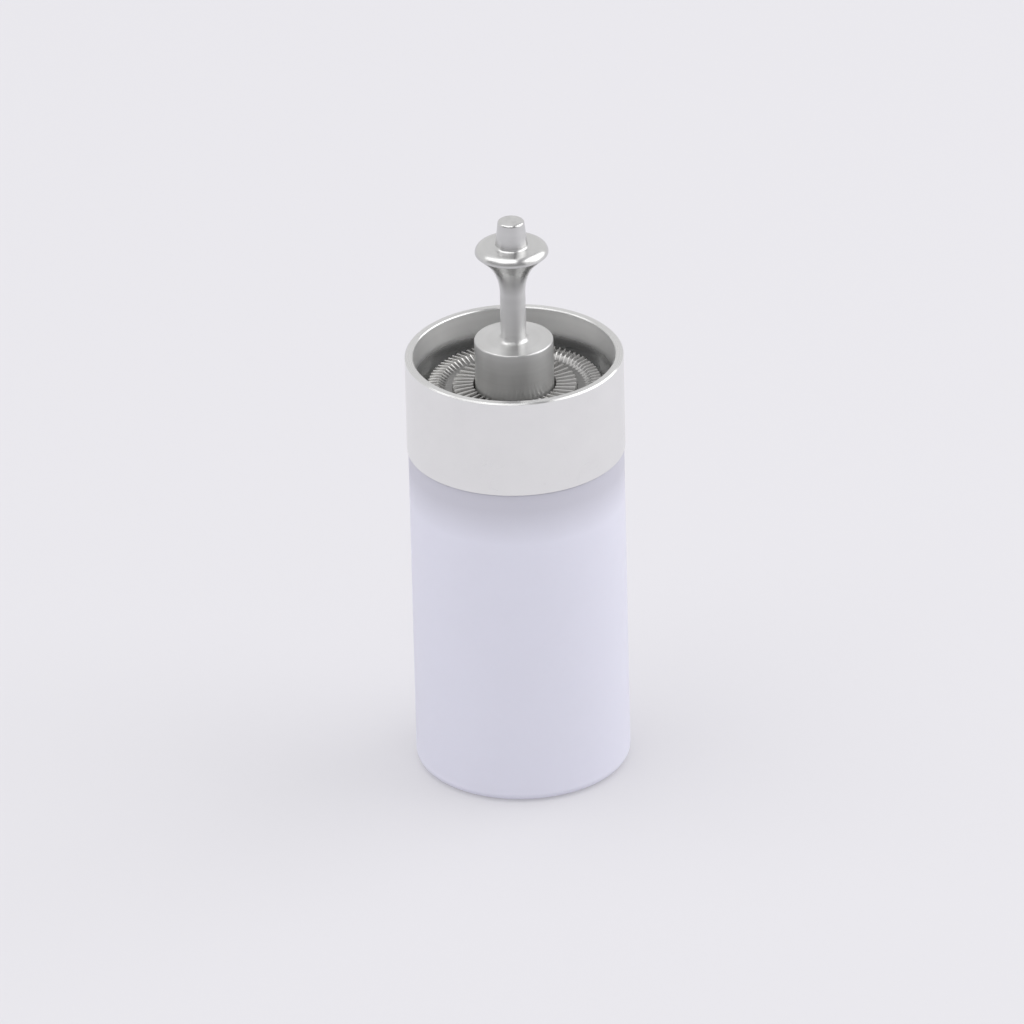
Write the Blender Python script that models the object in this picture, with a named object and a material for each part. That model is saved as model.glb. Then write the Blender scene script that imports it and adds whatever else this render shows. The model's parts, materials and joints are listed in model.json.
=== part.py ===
"""Lower half of a flat-burr hand coffee grinder: jar, collar, bearings, rotor with burr, and grind dial.

Lengths are in millimetres up to the point where a mesh is made, which turns them into metres. Z runs up the
one axis that everything turns on, and Z = 0 is the surface that the jar stands on.
"""

import math

import bmesh
import bpy
from mathutils import Matrix, Vector

MM = 0.001
TAU = 2 * math.pi

# Clearances
SEAT_GAP = 0.3  # between large pieces that rest on each other
FIT_GAP = 0.15  # between small concentric or stacked pieces

# Facets round the axis
BIG, MID, SMALL, FINE_PIN = 40, 28, 18, 12

# Body
BODY_R = 26.0
JAR_R = 25.7
JAR_WALL = 2.2
JAR_FLOOR = 3.2
JAR_FOOT_R = 23.2
JAR_RECESS_R = 19.5
COLLAR_Z = 83.0
COLLAR_HEIGHT = 24.6
RIM_Z = COLLAR_Z + COLLAR_HEIGHT
RIM_CHAMFER = 0.35
CHAMBER_R = 24.05
FUNNEL_TOP_Z = 92.5
FUNNEL_BOTTOM_Z = 87.5
BORE_R = 20.5
LEDGE_Z = 80.6
LEDGE_R = 18.7
SPIGOT_R = 22.4
SPIGOT_Z = 77.6
GASKET_GROOVE_INNER_R = 23.6
GASKET_GROOVE_OUTER_R = 25.2
GASKET_GROOVE_TOP_Z = 84.2

# Jar thread
THREAD_LEAD = 3.0
THREAD_DEPTH = 0.8
THREAD_ROOT_HALF = 0.85
THREAD_CREST_HALF = 0.45
THREAD_EMBED = 0.3
MALE_START_Z = 79.0

# Bearings, sized as 6 x 13 x 5
BEARING_BORE_R = 3.0
BEARING_R = 6.35
BEARING_WIDTH = 5.0
LOWER_BEARING_Z = 77.9
UPPER_BEARING_Z = 84.2
BALL_COUNT = 6
BALL_R = 0.75
BALL_PITCH_R = 4.9

# Bearing carrier
HUB_R = 8.6
HUB_Z = 76.0
HUB_TOP_Z = 89.6
ARM_COUNT = 3
ARM_WIDTH = 5.0
CARRIER_RING_R = 20.2
CARRIER_RING_INNER_R = 18.3
CARRIER_RING_Z = LEDGE_Z + SEAT_GAP
CARRIER_RING_HEIGHT = 4.0
CIRCLIP_Z = 76.9
CIRCLIP_TOP_Z = 77.7
CIRCLIP_INNER_R = 5.6
CIRCLIP_R = 6.95

# Shaft and grind adjustment
SHAFT_R = 2.85
SHAFT_THREAD_R = 2.5
SHAFT_TOP_Z = 104.5
SHAFT_END_Z = 67.85
FLANGE_R = 4.4
FLANGE_Z = 92.9
FLANGE_TOP_Z = 94.1
SEAT_END_Z = 74.5
FLATS_Z = 71.9
FLATS_TOP_Z = 76.95
FLAT_HALF = 2.3
DIAL_R = 11.0
DIAL_Z = 69.5
DIAL_TOP_Z = 74.3
DIAL_KNURLS = 20
PLATE_Z = 74.6
PLATE_R = 9.0
PLATE_GROOVES = 18
CLICK_R = 7.4
CLICK_BALL_R = 0.8
CLICK_POCKET_Z = 70.9

# Rotor
BURR_Z = 95.9
BURR_HEIGHT = 4.0
BURR_R = 20.7
BURR_BORE_R = 9.9
BREAKER_R = 14.7
GROOVE_R = 16.4
FINISHING_R = 18.2
BREAKER_TEETH = 44
FINISHING_TEETH = 2 * BREAKER_TEETH
TOOTH_LEAN = math.radians(8)
CARRIER_DISC_R = 20.0
CARRIER_DISC_Z = 92.4
CARRIER_DISC_TOP_Z = BURR_Z - SEAT_GAP
SPRING_POCKET_R = 6.9
SPRING_POCKET_Z = 94.35
BURR_SCREW_PCR = 12.4
DRIVE_PIN_PCR = 7.6
DRIVE_PIN_R = 1.0
DRIVE_PIN_Z = 93.5
DRIVE_PIN_TOP_Z = 98.4

# Spindle, above the burr
BOSS_R = 9.4
BOSS_TOP_Z = 111.7
NECK_R = 3.04
NECK_FILLET = 0.9
FLARE_Z = 124.1
FLARE_R = 12.4
FLARE_END = 38.5  # degrees of the flare's arc
DISC_R = 8.75
DISC_Z = 134.8  # where the disc is widest
DISC_ROUND_R = 1.9
DISC_TOP_Z = 136.5
DISC_EDGE_R = 0.2
STUB_FOOT_R = 3.8
STUB_R = 3.2
STUB_FILLET = 0.6
STUB_EDGE_R = 0.6
STUB_TOP_Z = 143.0


def material(name, colour, roughness, metallic, transmission=0.0):
    """A Principled material, made once for each name."""
    found = bpy.data.materials.get(name)
    if found:
        return found
    made = bpy.data.materials.new(name)
    made.use_nodes = True
    shader = made.node_tree.nodes["Principled BSDF"]
    shader.inputs["Base Color"].default_value = (*colour, 1.0)
    shader.inputs["Roughness"].default_value = roughness
    shader.inputs["Metallic"].default_value = metallic
    shader.inputs["Transmission Weight"].default_value = transmission
    made.diffuse_color = (*colour, 1.0)
    return made


def frosted_plastic():
    return material("frosted_plastic", (0.72, 0.72, 0.82), 0.55, 0.0, 0.5)


def satin_aluminium():
    return material("satin_aluminium", (0.78, 0.78, 0.78), 0.3, 1.0)


def machined_aluminium():
    return material("machined_aluminium", (0.62, 0.63, 0.64), 0.4, 1.0)


def polished_steel():
    return material("polished_steel", (0.68, 0.68, 0.67), 0.15, 1.0)


def burr_steel():
    return material("burr_steel", (0.5, 0.5, 0.5), 0.3, 1.0)


def bearing_steel():
    return material("bearing_steel", (0.6, 0.6, 0.62), 0.12, 1.0)


def spring_steel():
    return material("spring_steel", (0.45, 0.46, 0.5), 0.25, 1.0)


def black_oxide():
    return material("black_oxide", (0.06, 0.06, 0.065), 0.4, 1.0)


def silicone():
    return material("silicone", (0.85, 0.86, 0.88), 0.6, 0.0)


def arc(centre, radius, first, last, steps):
    """Points of an arc in the (radius, height) plane, from one angle in degrees to another."""
    points = []
    for step in range(steps + 1):
        angle = math.radians(first + (last - first) * step / steps)
        points.append((centre[0] + radius * math.cos(angle), centre[1] + radius * math.sin(angle)))
    return points


def finish_mesh(name, bm):
    """The bmesh as a mesh with merged poles and faces that point out, smooth but for its sharp edges."""
    bmesh.ops.remove_doubles(bm, verts=bm.verts, dist=1e-7)
    bmesh.ops.recalc_face_normals(bm, faces=bm.faces)
    mesh = bpy.data.meshes.new(name)
    bm.to_mesh(mesh)
    bm.free()
    mesh.shade_smooth()
    mesh.set_sharp_from_angle(angle=math.radians(30))
    return mesh


def turned_mesh(name, outline, segments):
    """A solid of revolution. The outline is a closed loop, or it starts and ends on the axis."""
    bm = bmesh.new()
    verts = [bm.verts.new((radius * MM, 0, height * MM)) for radius, height in outline]
    ends = zip(verts, verts[1:] + verts[:1])
    edges = [bm.edges.new(pair) for pair in ends if max(v.co.x for v in pair) > 0]
    bmesh.ops.spin(
        bm, geom=verts + edges, cent=(0, 0, 0), axis=(0, 0, 1), angle=TAU, steps=segments, use_merge=True
    )
    return finish_mesh(name, bm)


def polar_mesh(name, section, columns, lean=None, sweep=TAU):
    """A ring whose closed (radius, height) section may change from column to column.

    lean(radius) turns a point about the axis by its own angle. A sweep under a full turn gets end caps.
    """
    bm = bmesh.new()
    full = math.isclose(sweep, TAU)
    loops = []
    for column in range(columns if full else columns + 1):
        loop = []
        for radius, height in section(column):
            angle = sweep * column / columns + (lean(radius) if lean else 0)
            loop.append(bm.verts.new(polar_point(radius, angle, height)))
        loops.append(loop)
    skin_loops(bm, loops, full)
    return finish_mesh(name, bm)


def polar_point(radius, angle, height):
    return Vector((radius * math.cos(angle), radius * math.sin(angle), height)) * MM


def skin_loops(bm, loops, closed):
    """Quads between neighbouring closed loops of vertices, with a cap on each end of an open row."""
    following = loops[1:] + loops[:1] if closed else loops[1:]
    for here, there in zip(loops, following):
        for k in range(len(here)):
            n = (k + 1) % len(here)
            bm.faces.new((here[k], here[n], there[n], there[k]))
    if not closed:
        bm.faces.new(loops[0])
        bm.faces.new(loops[-1])


def helix_mesh(name, radius, wire_r, height, turns, steps_per_turn, sides):
    """A coil of round wire that starts and ends at the given wire-centre heights, 0 and height."""
    bm = bmesh.new()
    steps = round(turns * steps_per_turn)
    loops = []
    for step in range(steps + 1):
        angle = TAU * turns * step / steps
        centre_z = height * step / steps
        loop = []
        for side in range(sides):
            roll = TAU * side / sides
            reach = radius + wire_r * math.cos(roll)
            loop.append(bm.verts.new(polar_point(reach, angle, centre_z + wire_r * math.sin(roll))))
        loops.append(loop)
    skin_loops(bm, loops, closed=False)
    return finish_mesh(name, bm)


def thread_mesh(name, wall_r, crest_r, start_z, start_angle):
    """One turn of a right-hand thread ridge on a round wall, which sinks into the wall at both ends."""
    bm = bmesh.new()
    outward = math.copysign(1, crest_r - wall_r)
    root_r = wall_r - outward * THREAD_EMBED
    hidden_r = wall_r - outward * THREAD_EMBED / 2
    run_out = 3
    loops = []
    for step in range(BIG + 1):
        rise = min(step, BIG - step, run_out) / run_out
        reach = hidden_r + (crest_r - hidden_r) * rise
        angle = start_angle + TAU * step / BIG
        z = start_z + THREAD_LEAD * step / BIG
        section = (
            (root_r, z - THREAD_ROOT_HALF),
            (reach, z - THREAD_CREST_HALF),
            (reach, z + THREAD_CREST_HALF),
            (root_r, z + THREAD_ROOT_HALF),
        )
        loops.append([bm.verts.new(polar_point(r, angle, height)) for r, height in section])
    skin_loops(bm, loops, closed=False)
    return finish_mesh(name, bm)


def box_mesh(name, size, centre):
    bm = bmesh.new()
    bmesh.ops.create_cube(bm, size=1.0)
    bmesh.ops.scale(bm, vec=Vector(size) * MM, verts=bm.verts)
    bmesh.ops.translate(bm, vec=Vector(centre) * MM, verts=bm.verts)
    return finish_mesh(name, bm)


def rod_outline(radius, low, high):
    return [(0, low), (radius, low), (radius, high), (0, high)]


def washer_outline(inner_r, outer_r, low, high):
    return [(inner_r, low), (outer_r, low), (outer_r, high), (inner_r, high)]


def hex_radius(across_flats, column, columns):
    """Distance from the axis to the side of a hexagon, at a column's angle."""
    off_flat = (360 * column / columns + 30) % 60 - 30
    return across_flats / 2 / math.cos(math.radians(off_flat))


def place(name, mesh, finish, parent, location=(0, 0, 0), turn=0.0):
    """Adds an object that follows its joint's empty, at a world place in millimetres."""
    thing = bpy.data.objects.new(name, mesh)
    bpy.context.scene.collection.objects.link(thing)
    if not mesh.materials:
        mesh.materials.append(finish)
    thing.parent = parent
    thing.location = Vector(location) * MM - parent.matrix_world.translation
    thing.rotation_euler.z = turn
    return thing


def helper(mesh):
    """An object that only shapes others, and isn't a piece."""
    thing = bpy.data.objects.new(mesh.name, mesh)
    bpy.context.scene.collection.objects.link(thing)
    thing.hide_render = True
    thing.display_type = "WIRE"
    return thing


def combine(target, operation, meshes):
    for mesh in meshes:
        modifier = target.modifiers.new(mesh.name, "BOOLEAN")
        modifier.operation = operation
        modifier.solver = "EXACT"
        modifier.object = helper(mesh)


def moved(mesh, centre, turn=0.0):
    """The mesh turned about the axis and shifted, in millimetres."""
    mesh.transform(Matrix.Translation(Vector(centre) * MM) @ Matrix.Rotation(turn, 4, "Z"))
    return mesh


def around(radius, count, first=0.0):
    """Points spaced evenly on a circle about the axis."""
    for index in range(count):
        angle = first + TAU * index / count
        yield radius * math.cos(angle), radius * math.sin(angle)


def axis_empty(name, height, parent=None):
    empty = bpy.data.objects.new(name, None)
    bpy.context.scene.collection.objects.link(empty)
    empty.parent = parent
    below = parent.matrix_world.translation.z if parent else 0.0
    empty.location = (0, 0, height * MM - below)
    bpy.context.view_layer.update()
    return empty


def make_jar(parent):
    inner_r = JAR_R - JAR_WALL
    rim = COLLAR_Z - SEAT_GAP
    foot = JAR_R - JAR_FOOT_R
    hollow = 3.0
    lip = 0.3
    outline = [(0, 0.6), (JAR_RECESS_R - 0.5, 0.6), (JAR_RECESS_R, 0)]
    outline += arc((JAR_FOOT_R, foot), foot, -90, 0, 3)
    outline += [(JAR_R, rim - lip), (JAR_R - lip, rim), (inner_r + lip, rim), (inner_r, rim - lip)]
    outline += arc((inner_r - hollow, JAR_FLOOR + hollow), hollow, 0, -90, 2)
    outline += [(0, JAR_FLOOR)]
    jar = place("jar", turned_mesh("jar", outline, BIG), frosted_plastic(), parent)
    # The jar's ridge runs midway between two turns of the collar's.
    start = MALE_START_Z - THREAD_LEAD / 6
    ridge = thread_mesh("jar_thread", inner_r, inner_r - THREAD_DEPTH, start, TAU / 3)
    combine(jar, "UNION", [ridge])


def make_seal_ring(parent):
    inner_r = GASKET_GROOVE_INNER_R + SEAT_GAP
    outer_r = GASKET_GROOVE_OUTER_R - SEAT_GAP
    outline = washer_outline(inner_r, outer_r, COLLAR_Z, GASKET_GROOVE_TOP_Z - SEAT_GAP)
    place("seal_ring", turned_mesh("seal_ring", outline, BIG), silicone(), parent)


def make_collar(parent):
    foot = 0.4
    outline = [
        (LEDGE_R, SPIGOT_Z),
        (SPIGOT_R - foot, SPIGOT_Z),
        (SPIGOT_R, SPIGOT_Z + foot),
        (SPIGOT_R, COLLAR_Z),
        (GASKET_GROOVE_INNER_R, COLLAR_Z),
        (GASKET_GROOVE_INNER_R, GASKET_GROOVE_TOP_Z),
        (GASKET_GROOVE_OUTER_R, GASKET_GROOVE_TOP_Z),
        (GASKET_GROOVE_OUTER_R, COLLAR_Z),
        (BODY_R - foot, COLLAR_Z),
        (BODY_R, COLLAR_Z + foot),
        (BODY_R, RIM_Z - RIM_CHAMFER),
        (BODY_R - RIM_CHAMFER, RIM_Z),
        (CHAMBER_R + RIM_CHAMFER, RIM_Z),
        (CHAMBER_R, RIM_Z - RIM_CHAMFER),
        (CHAMBER_R, FUNNEL_TOP_Z),
        (BORE_R, FUNNEL_BOTTOM_Z),
        (BORE_R, LEDGE_Z),
        (LEDGE_R, LEDGE_Z),
    ]
    collar = place("collar", turned_mesh("collar", outline, BIG), satin_aluminium(), parent)
    ridge = thread_mesh("collar_thread", SPIGOT_R, SPIGOT_R + THREAD_DEPTH, MALE_START_Z, 0)
    combine(collar, "UNION", [ridge])


def make_bearing_carrier(parent):
    """A hub with two bearing seats, an internal lip between them, and three arms out to a ring."""
    seat_r = BEARING_R + FIT_GAP
    lip = (LOWER_BEARING_Z + BEARING_WIDTH + FIT_GAP, UPPER_BEARING_Z - FIT_GAP)
    lip_r = 5.7
    clip_low, clip_high, clip_r = CIRCLIP_Z - FIT_GAP, CIRCLIP_TOP_Z + FIT_GAP, CIRCLIP_R + FIT_GAP
    hub = [
        (seat_r, HUB_Z),
        (HUB_R, HUB_Z),
        (HUB_R, HUB_TOP_Z),
        (seat_r, HUB_TOP_Z),
        (seat_r, lip[1]),
        (lip_r, lip[1]),
        (lip_r, lip[0]),
        (seat_r, lip[0]),
        (seat_r, clip_high),
        (clip_r, clip_high),
        (clip_r, clip_low),
        (seat_r, clip_low),
    ]
    carrier = place(
        "bearing_carrier", turned_mesh("bearing_carrier", hub, MID), machined_aluminium(), parent
    )
    ring_top = CARRIER_RING_Z + CARRIER_RING_HEIGHT
    ring = washer_outline(CARRIER_RING_INNER_R, CARRIER_RING_R, CARRIER_RING_Z, ring_top)
    parts = [turned_mesh("carrier_ring", ring, BIG)]
    inner, outer = HUB_R - 1.0, CARRIER_RING_INNER_R + 0.6
    for index in range(ARM_COUNT):
        size = (outer - inner, ARM_WIDTH, CARRIER_RING_HEIGHT - 0.8)
        arm = box_mesh(f"carrier_arm_{index + 1}", size, ((inner + outer) / 2, 0, 0))
        centre = (0, 0, CARRIER_RING_Z + CARRIER_RING_HEIGHT / 2)
        parts.append(moved(arm, centre, TAU * index / ARM_COUNT))
    combine(carrier, "UNION", parts)


def make_carrier_lock_ring(parent):
    """A threaded ring with four spanner slots, which clamps the bearing carrier on its ledge."""
    low = CARRIER_RING_Z + CARRIER_RING_HEIGHT + SEAT_GAP
    high = low + 2.0
    outline = washer_outline(CARRIER_RING_INNER_R, CARRIER_RING_R, low, high)
    mesh = turned_mesh("carrier_lock_ring", outline, BIG)
    ring = place("carrier_lock_ring", mesh, machined_aluminium(), parent)
    middle_r = (CARRIER_RING_INNER_R + CARRIER_RING_R) / 2
    slots = []
    for index, (x, y) in enumerate(around(middle_r, 4)):
        slot = box_mesh(f"lock_ring_slot_{index + 1}", (4.0, 2.0, 2.0), (0, 0, 0))
        slots.append(moved(slot, (x, y, high), TAU * index / 4))
    combine(ring, "DIFFERENCE", slots)


def outer_race_outline():
    """A ring with a shield at each face that reaches in almost to the inner race."""
    shield, track_r, shield_r = 0.35, 5.75, 4.35
    width = BEARING_WIDTH
    return [
        (BEARING_R, 0),
        (BEARING_R, width),
        (shield_r, width),
        (shield_r, width - shield),
        (track_r, width - shield),
        (track_r, shield),
        (shield_r, shield),
        (shield_r, 0),
    ]


def make_races(head, core):
    outer = turned_mesh("outer_race", outer_race_outline(), SMALL)
    inner = turned_mesh("inner_race", washer_outline(BEARING_BORE_R, 4.05, 0, BEARING_WIDTH), SMALL)
    for side, z in (("upper", UPPER_BEARING_Z), ("lower", LOWER_BEARING_Z)):
        place(f"{side}_outer_race", outer, bearing_steel(), head, (0, 0, z))
        place(f"{side}_inner_race", inner, bearing_steel(), core, (0, 0, z))


def make_ball_cages(parents):
    """Each cage is a thin ring with the balls set in it."""
    ring_outline = washer_outline(BALL_PITCH_R - 0.3, BALL_PITCH_R + 0.3, -0.3, 0.3)
    for side, z in (("upper", UPPER_BEARING_Z), ("lower", LOWER_BEARING_Z)):
        name = f"{side}_ball_cage"
        ring = turned_mesh(name, ring_outline, 3 * BALL_COUNT)
        centre_z = z + BEARING_WIDTH / 2
        cage = place(name, ring, bearing_steel(), parents[side], (0, 0, centre_z))
        balls = []
        for index, (x, y) in enumerate(around(BALL_PITCH_R, BALL_COUNT, math.radians(5))):
            balls.append(moved(ball_mesh(f"{side}_ball_{index + 1}", BALL_R, 6, 4), (x, y, centre_z)))
        combine(cage, "UNION", balls)


def ball_mesh(name, radius, segments, rings):
    bm = bmesh.new()
    bmesh.ops.create_uvsphere(bm, u_segments=segments, v_segments=rings, radius=radius * MM)
    return finish_mesh(name, bm)


def make_bearing_circlip(parent):
    """An open spring ring in the hub's groove, below the lower bearing."""
    section = washer_outline(CIRCLIP_INNER_R, CIRCLIP_R, CIRCLIP_Z, CIRCLIP_TOP_Z)
    opening = math.radians(40)
    mesh = polar_mesh("bearing_circlip", lambda column: section, 18, sweep=TAU - opening)
    place("bearing_circlip", mesh, spring_steel(), parent, turn=opening / 2)


def make_core_rings(parent):
    """The sleeve and the washers that are stacked on the shaft with the inner races."""
    upper_top = UPPER_BEARING_Z + BEARING_WIDTH
    lower_top = LOWER_BEARING_Z + BEARING_WIDTH
    rings = (
        ("race_spacer", 4.0, lower_top + FIT_GAP, UPPER_BEARING_Z - FIT_GAP),
        ("spring_washer", 6.2, upper_top + FIT_GAP, upper_top + FIT_GAP + 0.6),
        ("thrust_washer", 4.8, LOWER_BEARING_Z - FIT_GAP - 0.8, LOWER_BEARING_Z - FIT_GAP),
    )
    for name, outer_r, low, high in rings:
        mesh = turned_mesh(name, washer_outline(BEARING_BORE_R, outer_r, low, high), SMALL)
        place(name, mesh, bearing_steel(), parent)


def make_detent_plate(parent):
    """A flanged disc keyed to the shaft's flats, with radial click grooves in its underside."""
    columns = 2 * PLATE_GROOVES
    hub_r, flange_top, hub_top = 4.8, 75.6, 76.8
    groove_depth, groove_inner_r = 0.3, 5.8

    def section(column):
        angle = TAU * column / columns
        across = abs(math.sin(angle)) * BEARING_BORE_R
        half = FLAT_HALF + FIT_GAP
        bore = BEARING_BORE_R if across <= half else half / abs(math.sin(angle))
        groove = groove_depth if column % 2 else 0.0
        return [
            (bore, PLATE_Z),
            (groove_inner_r, PLATE_Z),
            (PLATE_R, PLATE_Z + groove),
            (PLATE_R, flange_top),
            (hub_r, flange_top),
            (hub_r, hub_top),
            (bore, hub_top),
        ]

    place("detent_plate", polar_mesh("detent_plate", section, columns), spring_steel(), parent)


def make_lift_spring(parent):
    """A compression spring between its washer and the underside of the burr carrier."""
    wire_r = 0.45
    low = UPPER_BEARING_Z + BEARING_WIDTH + 2 * FIT_GAP + 0.6 + wire_r
    high = SPRING_POCKET_Z - FIT_GAP - wire_r
    mesh = helix_mesh("lift_spring", 5.6, wire_r, high - low, 3.0, 12, 5)
    place("lift_spring", mesh, spring_steel(), parent, (0, 0, low))


def make_drive_shaft(parent):
    hole_r, hole_top = 1.35, 73.0
    tip = 0.4
    outline = [
        (0, SHAFT_TOP_Z),
        (SHAFT_THREAD_R - tip, SHAFT_TOP_Z),
        (SHAFT_THREAD_R, SHAFT_TOP_Z - tip),
        (SHAFT_THREAD_R, FLANGE_TOP_Z),
        (FLANGE_R, FLANGE_TOP_Z),
        (FLANGE_R, FLANGE_Z),
        (SHAFT_R, FLANGE_Z),
        (SHAFT_R, SEAT_END_Z),
        (SHAFT_THREAD_R, SEAT_END_Z),
        (SHAFT_THREAD_R, SHAFT_END_Z),
        (hole_r, SHAFT_END_Z),
        (hole_r, hole_top),
        (0, hole_top),
    ]
    shaft = place("drive_shaft", turned_mesh("drive_shaft", outline, SMALL), bearing_steel(), parent)
    height = FLATS_TOP_Z - FLATS_Z
    cutters = []
    for side in (-1, 1):
        centre = (0, side * (FLAT_HALF + 1.0), FLATS_TOP_Z - height / 2)
        cutters.append(box_mesh(f"shaft_flat_{side + 2}", (8.0, 2.0, height), centre))
    combine(shaft, "DIFFERENCE", cutters)


def make_stop(parent):
    """The washer and the screw in the shaft's end, which the dial stops against."""
    top = SHAFT_END_Z - FIT_GAP
    washer = washer_outline(1.35, 4.2, top - 0.8, top)
    place("stop_washer", turned_mesh("stop_washer", washer, SMALL), bearing_steel(), parent)
    head_top = top - 0.8 - FIT_GAP
    mesh = screw_mesh("stop_screw", head_r=2.4, head_height=1.5, shank_r=1.2, length=5.0, countersunk=False)
    place("stop_screw", mesh, black_oxide(), parent, (0, 0, head_top - 1.5))


def screw_mesh(name, head_r, head_height, shank_r, length, countersunk):
    """A hex socket screw with its head's face at Z = 0, pointing down, and its shank pointing up."""
    columns = FINE_PIN
    under_r = shank_r if countersunk else head_r
    socket_depth = 0.6 * head_height
    top = head_height + length

    def section(column):
        socket_r = hex_radius(1.1 * shank_r, column, columns)
        return [
            (0, socket_depth),
            (socket_r, socket_depth),
            (socket_r, 0),
            (head_r, 0),
            (head_r, 0.25 * head_height),
            (under_r, head_height),
            (shank_r, head_height + 0.05),
            (shank_r, top - 0.3),
            (shank_r - 0.3, top),
            (0, top),
        ]

    bm = bmesh.new()
    loops = []
    for column in range(columns):
        angle = TAU * column / columns
        loops.append([bm.verts.new(polar_point(r, angle, z)) for r, z in section(column)])
    for here, there in zip(loops, loops[1:] + loops[:1]):
        for k in range(len(here) - 1):
            bm.faces.new((here[k], here[k + 1], there[k + 1], there[k]))
    return finish_mesh(name, bm)


def make_burr_carrier(parent):
    """The disc under the burr: spring pocket below, holes for the burr's screws and the drive pins."""
    bore_r = SHAFT_THREAD_R + FIT_GAP
    edge = 0.4
    outline = [
        (bore_r, SPRING_POCKET_Z),
        (SPRING_POCKET_R, SPRING_POCKET_Z),
        (SPRING_POCKET_R, CARRIER_DISC_Z),
        (CARRIER_DISC_R - edge, CARRIER_DISC_Z),
        (CARRIER_DISC_R, CARRIER_DISC_Z + edge),
        (CARRIER_DISC_R, CARRIER_DISC_TOP_Z),
        (bore_r, CARRIER_DISC_TOP_Z),
    ]
    mesh = turned_mesh("burr_carrier", outline, BIG)
    carrier = place("burr_carrier", mesh, machined_aluminium(), parent)
    cutters = []
    below = CARRIER_DISC_Z - 0.2
    head_r, shank_r = 2.5, 1.4
    hole = [
        (0, below),
        (head_r, below),
        (head_r, CARRIER_DISC_Z + 0.75),
        (shank_r, CARRIER_DISC_Z + 1.75),
        (shank_r, CARRIER_DISC_TOP_Z + 1),
        (0, CARRIER_DISC_TOP_Z + 1),
    ]
    for index, (x, y) in enumerate(around(BURR_SCREW_PCR, 3)):
        cutters.append(moved(turned_mesh(f"screw_hole_{index + 1}", hole, FINE_PIN), (x, y, 0)))
    cutters += pin_holes("carrier", DRIVE_PIN_Z - FIT_GAP, CARRIER_DISC_TOP_Z + 1)
    combine(carrier, "DIFFERENCE", cutters)


def pin_holes(name, low, high):
    holes = []
    for index, (x, y) in enumerate(around(DRIVE_PIN_PCR, 2, TAU / 4)):
        outline = rod_outline(DRIVE_PIN_R + FIT_GAP, low, high)
        hole = turned_mesh(f"{name}_pin_hole_{index + 1}", outline, FINE_PIN)
        holes.append(moved(hole, (x, y, 0)))
    return holes


def make_drive_pins(parent):
    outline = rod_outline(DRIVE_PIN_R, 0, DRIVE_PIN_TOP_Z - DRIVE_PIN_Z)
    mesh = turned_mesh("drive_pin", outline, FINE_PIN)
    for index, (x, y) in enumerate(around(DRIVE_PIN_PCR, 2, TAU / 4)):
        place(f"drive_pin_{index + 1}", mesh, bearing_steel(), parent, (x, y, DRIVE_PIN_Z))


def make_burr_screws(parent):
    mesh = screw_mesh("burr_screw", head_r=2.2, head_height=1.5, shank_r=1.15, length=3.7, countersunk=True)
    for index, (x, y) in enumerate(around(BURR_SCREW_PCR, 3)):
        place(f"burr_screw_{index + 1}", mesh, black_oxide(), parent, (x, y, CARRIER_DISC_Z + 0.1))


def tooth_lean(radius):
    """Teeth lean forward as they run out from the bore."""
    return TOOTH_LEAN * (radius - BURR_BORE_R) / (BURR_R - BURR_BORE_R)


def make_lower_burr(parent):
    """A flat burr: coarse breaker teeth, a plain groove, a slope with ribs, and fine finishing teeth."""
    columns = 2 * FINISHING_TEETH
    groove_floor, breaker_valley, finishing_valley, rib = 2.7, 3.05, 3.35, 0.25

    def section(column):
        finishing = BURR_HEIGHT if column % 2 == 0 else finishing_valley
        breaker = BURR_HEIGHT if column % 4 < 2 else breaker_valley
        foot = groove_floor + (rib if column % 4 == 0 else 0)
        return [
            (BURR_BORE_R, 0),
            (BURR_R, 0),
            (BURR_R, finishing),
            (FINISHING_R, finishing),
            (GROOVE_R, foot),
            (BREAKER_R + 0.2, groove_floor),
            (BREAKER_R, breaker),
            (BURR_BORE_R, breaker),
        ]

    mesh = polar_mesh("lower_burr", section, columns, lean=tooth_lean)
    burr = place("lower_burr", mesh, burr_steel(), parent, (0, 0, BURR_Z))
    holes = []
    for index, (x, y) in enumerate(around(BURR_SCREW_PCR, 3)):
        hole = rod_outline(1.3, BURR_Z - 0.5, BURR_Z + 2.2)
        holes.append(moved(turned_mesh(f"burr_hole_{index + 1}", hole, FINE_PIN), (x, y, 0)))
    combine(burr, "DIFFERENCE", holes)


def disc_outline():
    """The flare up from the neck, the disc's small lower edge and its broad elliptical upper one."""
    flare = arc((NECK_R + FLARE_R, FLARE_Z), FLARE_R, 180, 180 - FLARE_END, 5)
    lower = arc((DISC_R - DISC_EDGE_R, DISC_Z), DISC_EDGE_R, -45, 0, 1)
    inner, height, steps = DISC_R - DISC_ROUND_R, DISC_TOP_Z - DISC_Z, 6
    upper = []
    for step in range(1, steps + 1):
        angle = math.pi / 2 * step / steps
        upper.append((inner + DISC_ROUND_R * math.cos(angle), DISC_Z + height * math.sin(angle)))
    return flare + lower + upper


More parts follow.
